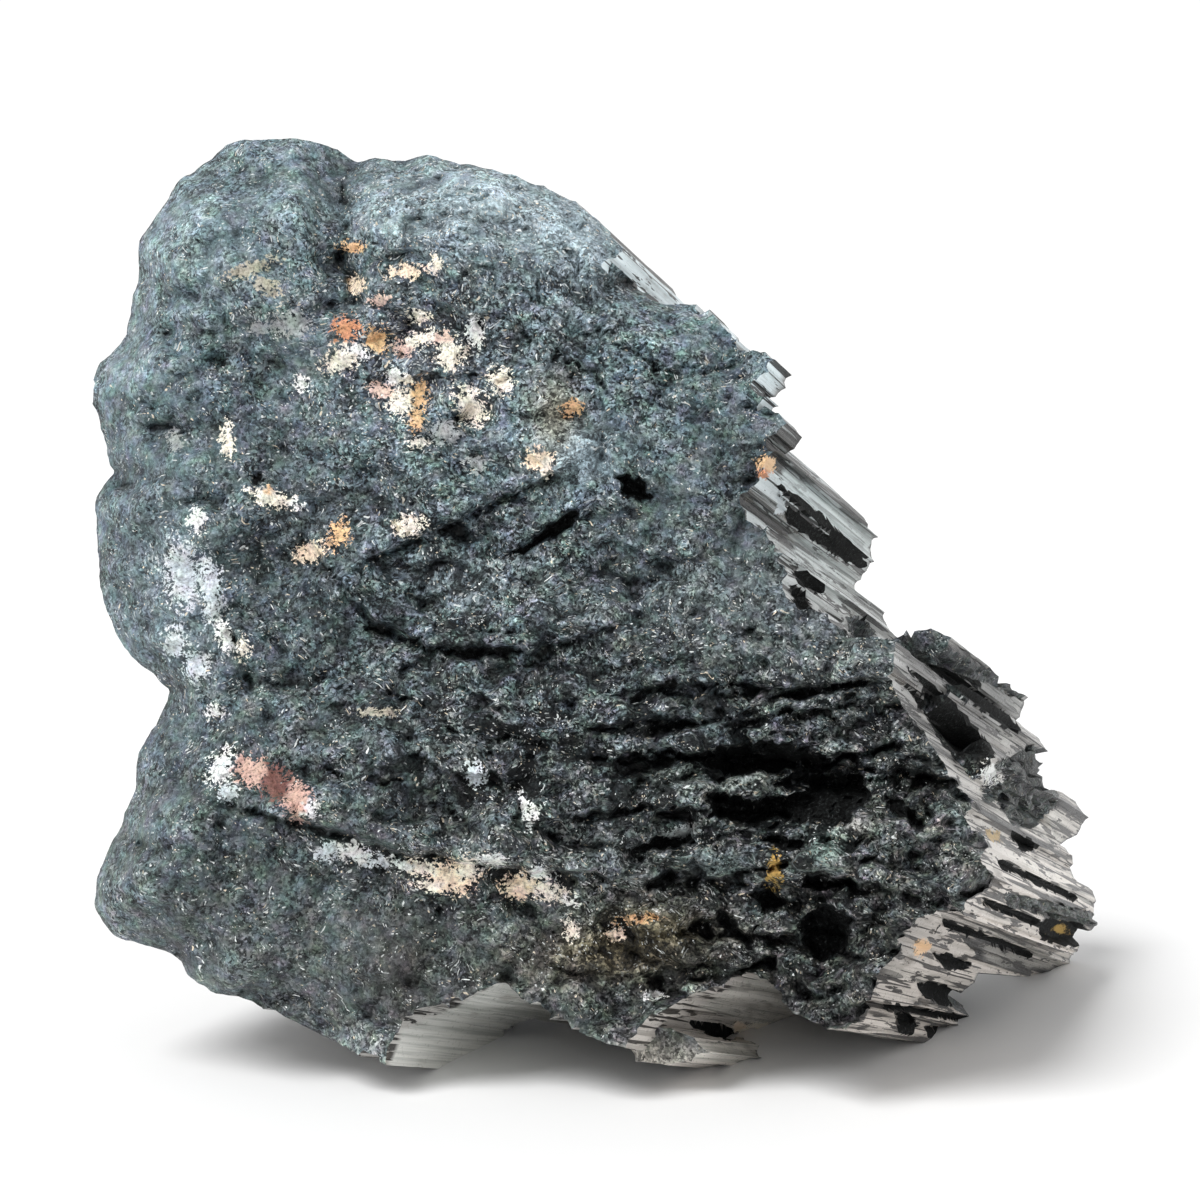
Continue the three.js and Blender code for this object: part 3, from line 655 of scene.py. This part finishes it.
def back_block():
    middle = across_crystals(seen(0, 0, 0))
    x, y = (line + at for line, at in zip(front_grid(BACK_PITCH), middle))
    bent_x, bent_y = ragged(x, y, 31, (4, 1.2, 1.2))
    nearest = np.full(x.shape, 1e9)
    length = np.zeros(x.shape)
    for u, v, reach in ENDINGS:
        centre = across_crystals(seen(u, v, 0))
        distance = np.hypot(bent_x - centre[0], bent_y - centre[1])
        length = np.where(distance < nearest, reach, length)
        nearest = np.minimum(distance, nearest)
    z = float(seen(0, 0, 0) @ NEAR) - length + 1.2 * noise(x, y, 33, 5) + 2.0 * noise(x, y, 34, 14)
    for height, size, seed in ((1.5, 4.2, 35), (0.5, 1.8, 39)):
        z += height * facets(bent_x / size, bent_y / size, seed, 0.5)
    return grid_block("back", place_across(x, y, z), place_across(x, y, REACH_FRONT))


def striped(corners, pitch, seed, depth=1.0):
    """Points along an open chain, with the fine grooves of striated crystal faces."""
    points = []
    run = 0.0
    for start, end in zip(corners[:-1], corners[1:]):
        length = float(np.linalg.norm(end - start))
        inward = np.array([start[1] - end[1], end[0] - start[0]]) / length
        steps = max(1, int(round(length / pitch)))
        t = np.arange(steps) / steps
        s = run + t * length
        groove = 0.12 * np.abs(noise(s, 0 * s, seed, 1.1))
        groove += 0.10 * scatter(np.floor(s / 0.55), 0 * s, seed + 1)
        strip = np.floor(s / 2.3 + 0.6 * noise(s, 0 * s, seed + 4, 5))
        step = 0.7 * scatter(strip, 0 * s, seed + 2) * (scatter(strip, 0 * s, seed + 3) > 0.35)
        fade = np.sqrt(np.minimum(1, np.minimum(t, 1 - t) * length / 0.6))
        cut = depth * (groove + step) * fade
        points.append(start + t[:, None] * (end - start) + cut[:, None] * inward)
        run += length
    return np.concatenate(points)


def weathered(corners, pitch, seed):
    """Points along an open chain with its corners worn and its line roughened."""
    run = np.concatenate([[0.0], np.cumsum(np.linalg.norm(np.diff(corners, axis=0), axis=1))])
    s = np.arange(0.0, run[-1], pitch)
    spread = 2 * WEAR * (np.arange(9) - 4) / 4
    weight = np.exp(-(spread / WEAR) ** 2)
    nearby = np.clip(s[:, None] + spread, 0, run[-1])
    fade = np.minimum(1, np.minimum(s, run[-1] - s) / 2)[:, None]
    points = np.stack([np.interp(s, run, line) for line in corners.T], axis=-1)
    worn = np.stack([np.interp(nearby, run, line) @ weight for line in corners.T], axis=-1)
    points = points + fade * (worn / weight.sum() - points)
    ahead = np.gradient(points, axis=0)
    inward = np.stack([-ahead[:, 1], ahead[:, 0]], axis=-1)
    inward = inward / np.linalg.norm(ahead, axis=1)[:, None]
    rough = 0.35 * noise(s, 0 * s, seed, 2.4) + 0.2 * noise(s, 0 * s, seed + 1, 0.9)
    return points + rough[:, None] * fade * inward


def slot_depth(u, v):
    """Depth of the recesses in the crystal faces at each place that is seen from the front."""
    lumps = 0.5 + 0.7 * noise(u, v, 66) + 0.5 * noise(u, v, 67, 0.45)
    return in_shapes(u, v, RECESSES, -0.15, 0.15) + in_rough(u, v) * np.clip(lumps, 0, 1.4)


def in_rough(u, v):
    return in_shapes(u, v, ROUGH, -0.3, 0.2)


def column(name, outline, far, near, seed, wander=0.25):
    """A crystal or bundle: an outline run along the crystals, its faces wandering slightly."""
    count = len(outline)
    rings = max(2, int((near - far) / RING_PITCH))
    s, z = np.meshgrid(np.arange(count) * SIDE_PITCH, np.linspace(far, near, rings))
    outward = outline - outline.mean(axis=0)
    outward = outward / np.linalg.norm(outward, axis=1)[:, None]
    shift = wander * facets(s / 2.6, z / 16.0, seed, 0.2)
    shift += 0.5 * wander * noise(s / 6.0, z / 22.0, seed + 5)
    u, v, _ = as_seen(place_across(*outline.T, z))
    ring = outline + (shift - slot_depth(u, v))[..., None] * outward
    index = np.arange(rings * count).reshape(rings, count)
    after = np.roll(index, -1, axis=1)
    quads = np.stack([index[:-1], after[:-1], after[1:], index[1:]], axis=-1)
    faces = quads.reshape(-1, 4).tolist() + [index[0, ::-1].tolist(), index[-1].tolist()]
    points = place_across(ring[..., 0], ring[..., 1], z).reshape(-1, 3)
    shape = mesh_object(name, points, faces, CRYSTAL)
    for face in shape.data.polygons:
        if abs(face.normal.dot(Vector(NEAR))) > 0.9:
            face.material_index = BROKEN
    return shape


def on_front(edge):
    u, v = np.array(edge).T
    return across_crystals(seen(u, v, main_relief(u, v)))


def bundle():
    visible = striped(on_front(UNDER_EDGE + RIGHT_EDGE + TOP_EDGE[:1]), SIDE_PITCH, 41)
    hidden = weathered(on_front(TOP_EDGE + LEFT_EDGE + UNDER_EDGE[:1]), HIDDEN_PITCH, 45)
    return column("bundle", np.concatenate([visible, hidden]), *BUNDLE_ENDS, 49)


def crystal(number, u, v, behind, half_width, half_height, roll, length):
    """One crystal: a rounded three-sided section, as tourmaline grows, with striped faces."""
    start = seen(u, v, behind)
    angle = 2 * math.pi * np.arange(10) / 9
    bulge = 1 + 0.12 * np.cos(3 * angle)
    x, y = half_width * bulge * np.cos(angle), half_height * bulge * np.sin(angle)
    c, s = math.cos(math.radians(roll)), math.sin(math.radians(roll))
    corners = np.stack([x * c - y * s, x * s + y * c], axis=-1) + across_crystals(start)
    outline = striped(corners, SIDE_PITCH * 1.5, 60 + 3 * number, 0.6)
    near = float(start @ NEAR)
    return column(f"crystal_{number}", outline, near - length, near, 80 + number, 0.12)


def break_away(*place):
    """A rough broken face that takes everything beyond it away."""
    at, facing = place[:3], place[3:]
    x, y = np.meshgrid(*[np.arange(-45, 45.1, BACK_PITCH)] * 2)
    rough = 1.6 * noise(x, y, 90 + at[0], 9) + 1.6 * facets(x / 5, y / 5, 91 + at[2], 0.5)
    rough += 0.6 * facets(x / 2, y / 2, 95 + at[2], 0.5)
    turn = np.array(Vector(facing).normalized().to_track_quat("Z", "Y").to_matrix())
    far = np.full(x.shape, BREAK_REACH)
    near, far = (np.stack([x, y, z], axis=-1) @ turn.T + np.array(at) for z in (rough, far))
    return grid_block("break", near, far)


def ground_block():
    corners = [(x, y, z) for z in (-60.0, 0.0) for y in (-150, 150) for x in (-150, 150)]
    faces = [(0, 1, 3, 2), (4, 6, 7, 5), (0, 4, 5, 1), (2, 3, 7, 6), (0, 2, 6, 4), (1, 5, 7, 3)]
    return mesh_object("ground", np.array(corners), faces, BROKEN)


def build_stone():
    stone = combine(bundle(), back_block(), "INTERSECT")
    for place in BREAKS:
        stone = combine(stone, break_away(*place), "DIFFERENCE")
    for number, sizes in enumerate(CRYSTALS):
        stone = combine(stone, crystal(number, *sizes), "UNION")
    stone = combine(stone, front_block(), "INTERSECT")
    return combine(stone, ground_block(), "DIFFERENCE")


def sort_faces(stone):
    """Gives rough patches the look of the broken front, and the deepest places and recesses their own
    material, painted black as shade.
    """
    faces = stone.data.polygons
    centres = np.array([face.center for face in faces])
    normals = np.array([face.normal for face in faces])
    kinds = np.array([face.material_index for face in faces])
    facing = np.einsum("ij,ij->i", normals, EYE - centres) > 0
    u, v, behind = as_seen(centres)
    place = ragged(u, v, 141, (0.7, 0.25, 0.25))
    rough = in_rough(u, v) > 0.5
    inside = [within(*place, corners) + WALL * depth > 0 for depth, corners in RECESSES]
    recess = np.any(inside, axis=0) & (kinds == CRYSTAL) & ~rough
    on_break = (kinds == BROKEN) & (np.abs(behind - front_relief(u, v)) < 1.0)
    pit = on_break & (hollow_relief(u, v) > 1.0)
    kinds[rough] = BROKEN
    # Painted shade: pits and recesses facing the eye get the black material
    kinds[(recess | pit) & facing] = SHADED_HOLLOW
    faces.foreach_set("material_index", kinds.astype(np.int32))


def vertex_points(mesh):
    return np.array([vertex.co for vertex in mesh.vertices], float)


# Where the front's colours lie


def grain_places(u, v):
    """How far each point is inside a grain, or below 0, and the grain's colour."""
    grain = np.full(len(u), -1.0)
    colors = np.tile(GRAIN_COLORS["white"], (len(u), 1))
    for x, y, half_width, half_height, tilt, kind in GRAINS:
        c, s = math.cos(math.radians(tilt)), math.sin(math.radians(tilt))
        along = ((u - x) * c + (v - y) * s) / (half_width * GRAIN_SIZE)
        beside = ((v - y) * c - (u - x) * s) / (half_height * GRAIN_SIZE)
        inside = 1 - np.hypot(along, beside)
        closer = inside > grain
        grain = np.where(closer, inside, grain)
        colors[closer] = GRAIN_COLORS[kind]
    return grain, colors


def tint_places(u, v):
    """The share of tint at each point, and its colour."""
    tint = np.zeros(len(u))
    colors = np.zeros((len(u), 3))
    for x, y, reach_x, reach_y, strength, *color in TINTS:
        share = strength * spot(u, v, x, y, reach_x, reach_y)
        colors += share[:, None] * color
        tint += share
    return np.clip(tint, 0, 1), colors / np.maximum(tint, 1e-3)[:, None]


def mark_places(stone):
    """Writes where grains, tints, painted shades and hollows lie on the stone's points, with painted
    light on raised parts and painted reflection on smooth faces.
    """
    mesh = stone.data
    points = vertex_points(mesh)
    normals = np.array([n.vector for n in mesh.vertex_normals])
    towards = EYE - points
    facing = np.einsum("ij,ij->i", normals, towards) / np.linalg.norm(towards, axis=1)
    u, v, behind = as_seen(points)
    near = smooth(-0.15, 0.05, facing) * smooth(80, 70, behind - main_relief(u, v))
    broken = near * smooth(1.6, 0.8, np.abs(behind - front_relief(u, v)))
    place = ragged(u, v, 111, (0.9, 0.45, 0.45), (0.4, 0.2, 0.2))
    grain, grain_color = grain_places(*place)
    tint, tint_color = tint_places(*place)
    # Painted shade in the hollows and painted light on what stands out, from how deep or high each
    # place lies
    narrow, broad = sunken(u, v, 1.2, 4.0)
    deep = smooth(0.0, 1.0, narrow) + 0.8 * smooth(0.1, 2.4, broad)
    deep += smooth(0.3, 1.2, hollow_relief(u, v))
    high = smooth(0.1, 0.9, -narrow) * 0.6 + smooth(0.3, 2.2, -broad) * 0.6
    # Painted shade in the recesses of the crystal faces
    slot = smooth(0.1, 0.4, slot_depth(u, v)) * (1 - 0.8 * in_rough(u, v))
    cool = np.clip(0.6 + 0.03 * v - 0.015 * u, -1, 1)[:, None] * np.array([-0.10, 0.0, 0.06])
    # Painted light and shade: the front lighter towards the top, where the light falls, and darker or
    # lighter in the SHADES spots; cool is a colour tint
    light = (1 + 0.45 * smooth(2, 32, v - 0.15 * u)) * (1 - 0.85 * zone(u, v, SHADES))
    painted_light_and_tint = light[:, None] * (1 + cool)
    marks = {
        "grain": np.clip(grain, -1, 1) * near - (1 - near),
        "tint": tint * near,
        # raised: painted light on what stands out of the broken front
        "raised": broken * np.clip(high, 0, 1),
        # cavity: painted shade in hollows and recesses
        "cavity_shade": np.maximum(broken * np.clip(deep, 0, 1), (1 - broken) * slot) * near,
        # lift: painted reflection on the smooth faces
        "lift": in_shapes(u, v, PAINTED_REFLECTION_FACES, -0.3, 0.2) * near,
        "wild": zone(u, v, WILD) * near,
        "sparkle": zone(u, v, SPARKLES) * near,
        # Painted light and shade, with the tint, on the sides seen from the front
        "painted_light_and_tint": HIDDEN_SHADE + near[:, None] * (painted_light_and_tint - HIDDEN_SHADE),
        "grain_color": grain_color,
        "tint_color": tint_color,
    }
    for name, values in marks.items():
        kind, field = "FLOAT", "value"
        if values.ndim == 2:
            kind, field = "FLOAT_COLOR", "color"
            values = np.concatenate([values, np.ones((len(values), 1))], axis=1)
        layer = mesh.attributes.new(name, kind, "POINT")
        layer.data.foreach_set(field, values.astype(np.float32).ravel())


# Materials


class Shader:
    """Builds the nodes of a material or world. Positions inside it are in mm."""

    def __init__(self, name, kind=bpy.data.materials):
        self.owner = kind.new(name)
        self.owner.use_nodes = True
        self.tree = self.owner.node_tree
        self.place = self.scaled(self.node("TexCoord", {})["Object"], 1 / MM)

    def put(self, node, inputs):
        """Sets or links a node's inputs, which are given by name or number."""
        for key, value in inputs.items():
            if isinstance(value, bpy.types.NodeSocket):
                self.tree.links.new(value, node.inputs[key])
            elif value is not None:
                node.inputs[key].default_value = value
        return node.outputs

    def node(self, kind, inputs, **settings):
        node = self.tree.nodes.new("ShaderNode" + kind)
        for name, setting in settings.items():
            setattr(node, name, setting)
        return self.put(node, inputs)

    def value(self, operation, a, b=0.0, clamp=False):
        return self.node("Math", {0: a, 1: b}, operation=operation, use_clamp=clamp)[0]

    def times(self, a, b):
        return self.value("MULTIPLY", a, b)

    def sum(self, base, *terms):
        """The base and the terms: a value, its weight and its middle, which adds nothing."""
        for value, weight, middle in terms:
            term = self.times(self.value("SUBTRACT", value, middle), weight)
            base = self.value("ADD", term, base)
        return base

    def fit(self, value, low, high, at_low, at_high):
        """A value between low and high as one between at_low and at_high."""
        return self.node("MapRange", dict(enumerate((value, low, high, at_low, at_high))))[0]

    def above(self, value, edge, steepness):
        """0 up to the edge, then rising to 1."""
        return self.value("MULTIPLY", self.value("SUBTRACT", value, edge), steepness, clamp=True)

    def vector(self, operation, a, b):
        return self.node("VectorMath", {0: a, 1: b}, operation=operation)["Vector"]

    def scaled(self, vector, scale):
        return self.node("VectorMath", {0: vector, "Scale": scale}, operation="SCALE")["Vector"]

    def noise(self, size, detail=2.0, rough=0.5, place=None, part="Fac"):
        """Soft noise from 0 to 1 whose lumps are about size mm."""
        return self.node("TexNoise", {
            "Vector": place or self.place, "Scale": 1.0 / size, "Detail": detail, "Roughness": rough,
        })[part]

    def shifted(self, place, size, reach):
        """Positions shifted by soft noise, up to half of reach each way."""
        way = self.vector("SUBTRACT", self.noise(size, 1.0, part="Color"), (0.5, 0.5, 0.5))
        return self.vector("ADD", place, self.scaled(way, reach))

    def cells(self, place, size):
        """Three random numbers for each crystal cell."""
        color = self.node("TexVoronoi", {"Vector": place, "Scale": 1.0 / size})["Color"]
        return self.node("SeparateXYZ", {0: color})

    def ramp(self, value, stops):
        node = self.tree.nodes.new("ShaderNodeValToRGB")
        marks = node.color_ramp.elements
        while len(marks) < len(stops):
            marks.new(0.5)
        for mark, (position, color) in zip(marks, stops):
            mark.position = position
            mark.color = (*color, 1) if isinstance(color, tuple) else (color, color, color, 1)
        return self.put(node, {"Fac": value})["Color"]

    def mix(self, share, a, b, blend="MIX"):
        a, b = ((*color, 1) if isinstance(color, tuple) else color for color in (a, b))
        outputs = self.node(
            "Mix", {"Factor": share, "A": a, "B": b}, data_type="RGBA", blend_type=blend)
        return [o for o in outputs if o.type == "RGBA"][0]

    def tone(self, color, factor):
        """A colour multiplied by another, or by a number."""
        return self.mix(1.0, color, factor, "MULTIPLY")

    def mark(self, name, kind="Fac"):
        """What mark_places() wrote on the points."""
        return self.node("Attribute", {}, attribute_name=name)[kind]

    def bump(self, height, distance, normal=None):
        """Bump of a height from 0 to 1 that stands for so many mm."""
        inputs = {"Distance": distance * MM, "Height": height, "Normal": normal}
        return self.node("Bump", inputs)["Normal"]

    def along(self, stretch):
        """Positions with x and y across the crystals, and z along them shrunk by stretch."""
        return self.stretched(self.place, (SIDE, RISE, AWAY / stretch))

    def stretched(self, place, axes):
        """Positions measured along three other axes, whose lengths stretch or shrink them."""
        parts = [self.node("VectorMath", {0: place, 1: tuple(axis)}, operation="DOT_PRODUCT")
                 for axis in axes]
        return self.node("CombineXYZ", {k: part["Value"] for k, part in enumerate(parts)})[0]

    def finish(self, color, roughness, normal, gloss, ior=1.64):
        self.put(self.tree.nodes["Principled BSDF"], {
            "Base Color": color, "Roughness": roughness, "Normal": normal, "IOR": ior,
            "Specular IOR Level": gloss,
        })
        return self.owner


BLACK = (.004, .005, .006)
BROWN_BLACK = (.006, .005, .005)

# Bright chips, painted glints off cleavage faces: the directions they are drawn out along, how broad
# and how few they are
STROKES = [
    (((.6, 0, .8), (0, .8, 0), (-.35, 0, .28)), .13, .99),
    (((.3, 0, -.12), (0, .8, 0), (.4, 0, .85)), .14, .992),
    (((1, 0, 0), (0, .8, 0), (0, 0, .8)), .17, .988),
]
GLINT_COLORS = (.86, .9, .89), (.92, .8, .62)

# The directions that dark swirls are drawn out along
SWIRL = ((.43, 0, -.12), (0, 1, 0), (.26, 0, .97))


def broken_stone():
    """Coarse, sparkling broken tourmaline with pale grains in it."""
    make = Shader("broken_face")
    wild = make.mark("wild")
    cavity_shade = make.mark("cavity_shade")

    # Grey tones, from crystal cells, mottles and broader patches
    fine = make.noise(.33, 4, .7)
    mottle = make.noise(2, 3, .6)
    broad = make.noise(6)
    lively = make.fit(make.noise(4.5, 2, .6), .35, .65, .35, .9)
    lively = make.sum(lively, (wild, .75, 0))
    cells = make.cells(make.vector("ADD", make.place, make.noise(.5, part="Color")), .3)
    own = cells["X"]
    detail = make.times(make.sum(0, (fine, .6, .5), (own, .32, .5)), lively)
    tone = make.sum(.614, (detail, 1, 0), (mottle, .3, .5), (broad, .2, .5))
    color = make.ramp(tone, [
        (.44, BLACK), (.53, (.034, .042, .044)), (.6, (.08, .1, .103)),
        (.68, (.145, .174, .178)), (.8, (.29, .33, .335)), (.92, (.6, .64, .64)),
    ])
    hue = make.scaled(make.noise(1.7, 2, .6, part="Color"), 2)
    hue = make.mix(.55, (1, 1, 1), hue, "MULTIPLY")
    color = make.mix(.6, color, hue, "MULTIPLY")
    dusting = make.ramp(tone, [(.44, .15), (.62, .9), (.78, 2.2)])
    color = make.mix(make.mark("tint"), color, make.tone(make.mark("tint_color", "Color"), dusting))

    # Dark swirls, painted shade in the hollows, and painted light on what stands out and over the front
    warp = make.shifted(make.place, 9, 9)
    swirl = make.noise(2.4, 4, .68, make.stretched(warp, SWIRL))
    swirl = make.fit(make.sum(swirl, (wild, -.045, 0)), .42, .48, 1, 0)
    color = make.mix(make.times(swirl, make.sum(0, (wild, .85, -.15))), color, BLACK)
    # Painted shade in the hollows
    color = make.tone(color, make.sum(1, (cavity_shade, -.9, 0)))
    # Painted light on the raised parts
    color = make.tone(color, make.sum(1, (make.mark("raised"), .9, 0)))
    # Painted light and shade of the front, with its tint
    color = make.tone(color, make.mark("painted_light_and_tint", "Color"))

    # Bright chips: painted glints off cleavage faces
    bent = make.shifted(warp, 3, 4)
    gather = make.fit(make.noise(2.2, 2, .6), .4, .6, .02, -.025)
    for axes, size, least in STROKES:
        strokes = make.cells(make.stretched(bent, axes), size)
        level = make.sum(least, (make.mark("sparkle"), -.05, 0), (cavity_shade, .03, 0),
                         (gather, 1, 0))
        fleck = make.fit(make.value("SUBTRACT", strokes["Y"], level), 0, .01, 0, 1)
        fleck = make.times(fleck, make.value("POWER", strokes["X"], 1.6))
        creamy = make.fit(strokes["Z"], .78, .82, 0, 1)
        color = make.mix(fleck, color, make.mix(creamy, *GLINT_COLORS))

    # Pale grains
    pale = make.sum(make.mark("grain"), (fine, 1.3, .5), (own, .85, .5))
    grain = make.ramp(fine, [(.36, .5), (.5, 1), (.64, 1.3)])
    grain = make.mix(.25, make.tone(make.mark("grain_color", "Color"), grain), hue, "MULTIPLY")
    color = make.mix(make.above(pale, .16, 14), color, grain)

    normal = make.bump(make.noise(.9, 4, .65), .55)
    normal = make.bump(cells["Z"], .13, normal)
    return make.finish(color, make.sum(.26, (mottle, .3, 0)), normal, .13)


def with_grains(make, color, fine, edge):
    pale = make.above(make.sum(make.mark("grain"), (fine, 1.6, .5)), edge, 6)
    return make.mix(pale, color, make.mark("grain_color", "Color"))


def crystal_faces():
    """Glossy crystal faces with straight striae along the crystals, their pale strips painted
    reflection of the bright surroundings.
    """
    make = Shader("crystal_face")
    wide = make.noise(2.6, 3, .6, make.along(28))
    thin = make.noise(.5, 3, .7, make.along(60))
    fine = make.noise(.5, 3, .6)
    strip = make.cells(make.along(40), 2.2)["X"]
    # The pale strips are painted reflection: the glossy black faces drawn light as they reflect the
    # bright surroundings
    tone = make.sum(.5, (wide, .36, .5), (thin, .2, .5), (strip, .17, .5))
    color = make.ramp(tone, [
        (.405, (.004, .004, .004)), (.435, (.06, .058, .052)),
        (.465, (.46, .465, .45)), (.54, (.66, .67, .655)), (.66, (.82, .83, .82)),
    ])
    # Painted reflection: smooth faces drawn lighter where they reflect the bright surroundings
    lit = make.ramp(thin, [(.38, (.48, .52, .5)), (.56, (.8, .84, .82))])
    color = make.mix(make.mark("lift"), color, lit)

    # Dark lines and slots, the painted light and shade of the sides seen from the front, darker hidden
    # sides, and recesses in painted shade
    line = make.value("SUBTRACT", make.noise(1.1, 1, place=make.along(60)), .5)
    line = make.fit(make.value("ABSOLUTE", line), .024, .034, 1, 0)
    broken = make.fit(make.noise(1.6, place=make.along(9)), .4, .46, 0, 1)
    slots = make.fit(make.noise(.8, 3, .6, make.along(8)), .59, .61, 0, 1)
    dark = make.value("MAXIMUM", make.times(line, broken), slots)
    # No dark lines where the painted reflection lies
    unlit = make.sum(0, (make.mark("lift"), -1.6, 1))
    dark = make.value("MULTIPLY", dark, unlit, clamp=True)
    color = make.mix(make.times(dark, .93), color, BROWN_BLACK)
    # Painted light and shade of the sides seen from the front, with the hidden sides darker still
    color = make.tone(color, make.mark("painted_light_and_tint", "Color"))
    color = make.tone(color, make.fit(make.mark("painted_light_and_tint"), HIDDEN_SHADE, .8, .55, 1))
    # Painted shade: recesses and slots drawn near black
    hollow = make.sum(make.mark("cavity_shade"), (thin, 1.2, .5), (fine, .5, .5))
    color = make.mix(make.fit(hollow, .4, .52, 0, .97), color, BROWN_BLACK)

    stain = make.above(make.noise(2.2, 3, place=make.along(4)), .6, 8)
    color = make.mix(make.times(stain, .55), color, (.12, .1, .075))
    color = with_grains(make, color, fine, .22)
    normal = make.bump(make.sum(thin, (dark, -.5, 0)), .22)
    normal = make.bump(fine, .03, normal)
    return make.finish(color, make.sum(.18, (fine, .25, 0)), normal, .16)


def shaded_hollows():
    """Painted shade: the deepest hollows and recesses drawn black and dull, with a few dim painted
    glints.
    """
    make = Shader("shaded_hollow")
    fine = make.noise(.35, 4, .7)
    color = make.ramp(fine, [
        (.45, (.003, .003, .003)), (.6, (.016, .018, .018)), (.72, (.12, .13, .13))])
    color = with_grains(make, color, fine, .4)
    return make.finish(color, .7, make.bump(fine, .2), .06)


MATERIALS = [broken_stone(), crystal_faces(), shaded_hollows()]


# The stone

stone = build_stone()
sort_faces(stone)
mark_places(stone)
points = (vertex_points(stone.data) - ORIGIN) * MM
stone.data.vertices.foreach_set("co", points.ravel())
stone.data.update()
stone.name = NODE + "_surface"
for polygon in stone.data.polygons:
    polygon.use_smooth = polygon.material_index == CRYSTAL
stone.data.set_sharp_from_angle(angle=math.radians(30))
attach(stone, "root")
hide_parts(NODE)


# The camera, floor and light


def add(name, data):
    item = bpy.data.objects.new(name, data)
    bpy.context.scene.collection.objects.link(item)
    return item


lens = bpy.data.cameras.new("camera")
lens.lens = 80
lens.sensor_width = 36
lens.clip_start = 0.01
lens.clip_end = 20
camera = add("camera", lens)
camera.location = (EYE - ORIGIN) * MM
camera.rotation_euler = (math.radians(90) - EYE_TILT, 0, 0)
bpy.context.scene.camera = camera

bpy.ops.mesh.primitive_plane_add(size=8)
floor = bpy.context.object
floor.name = "floor"
pale = Shader("pale_floor")
floor.data.materials.append(pale.finish((0.92, 0.92, 0.92, 1), 0.9, None, 0.5, 1.5))

# A white sky that dims towards the top
sky = Shader("studio", bpy.data.worlds)
height = sky.node("SeparateXYZ", {0: sky.node("TexCoord", {})["Generated"]})["Z"]
level = sky.node("MapRange", {
    "Value": height, "From Min": 0.30, "From Max": 0.75, "To Min": 1.05, "To Max": 0.45,
}, interpolation_type="SMOOTHSTEP")["Result"]
sky.put(sky.tree.nodes["Background"], {"Color": (1, 1, 1, 1), "Strength": level})
bpy.context.scene.world = sky.owner

sun = bpy.data.lights.new("softbox", "SUN")
sun.energy = 2.6
sun.angle = math.radians(30)
softbox = add("softbox", sun)
softbox.rotation_euler = Vector((0.5, 0.55, -0.9)).to_track_quat("-Z", "Y").to_euler()
bpy.context.scene.view_settings.view_transform = "Standard"
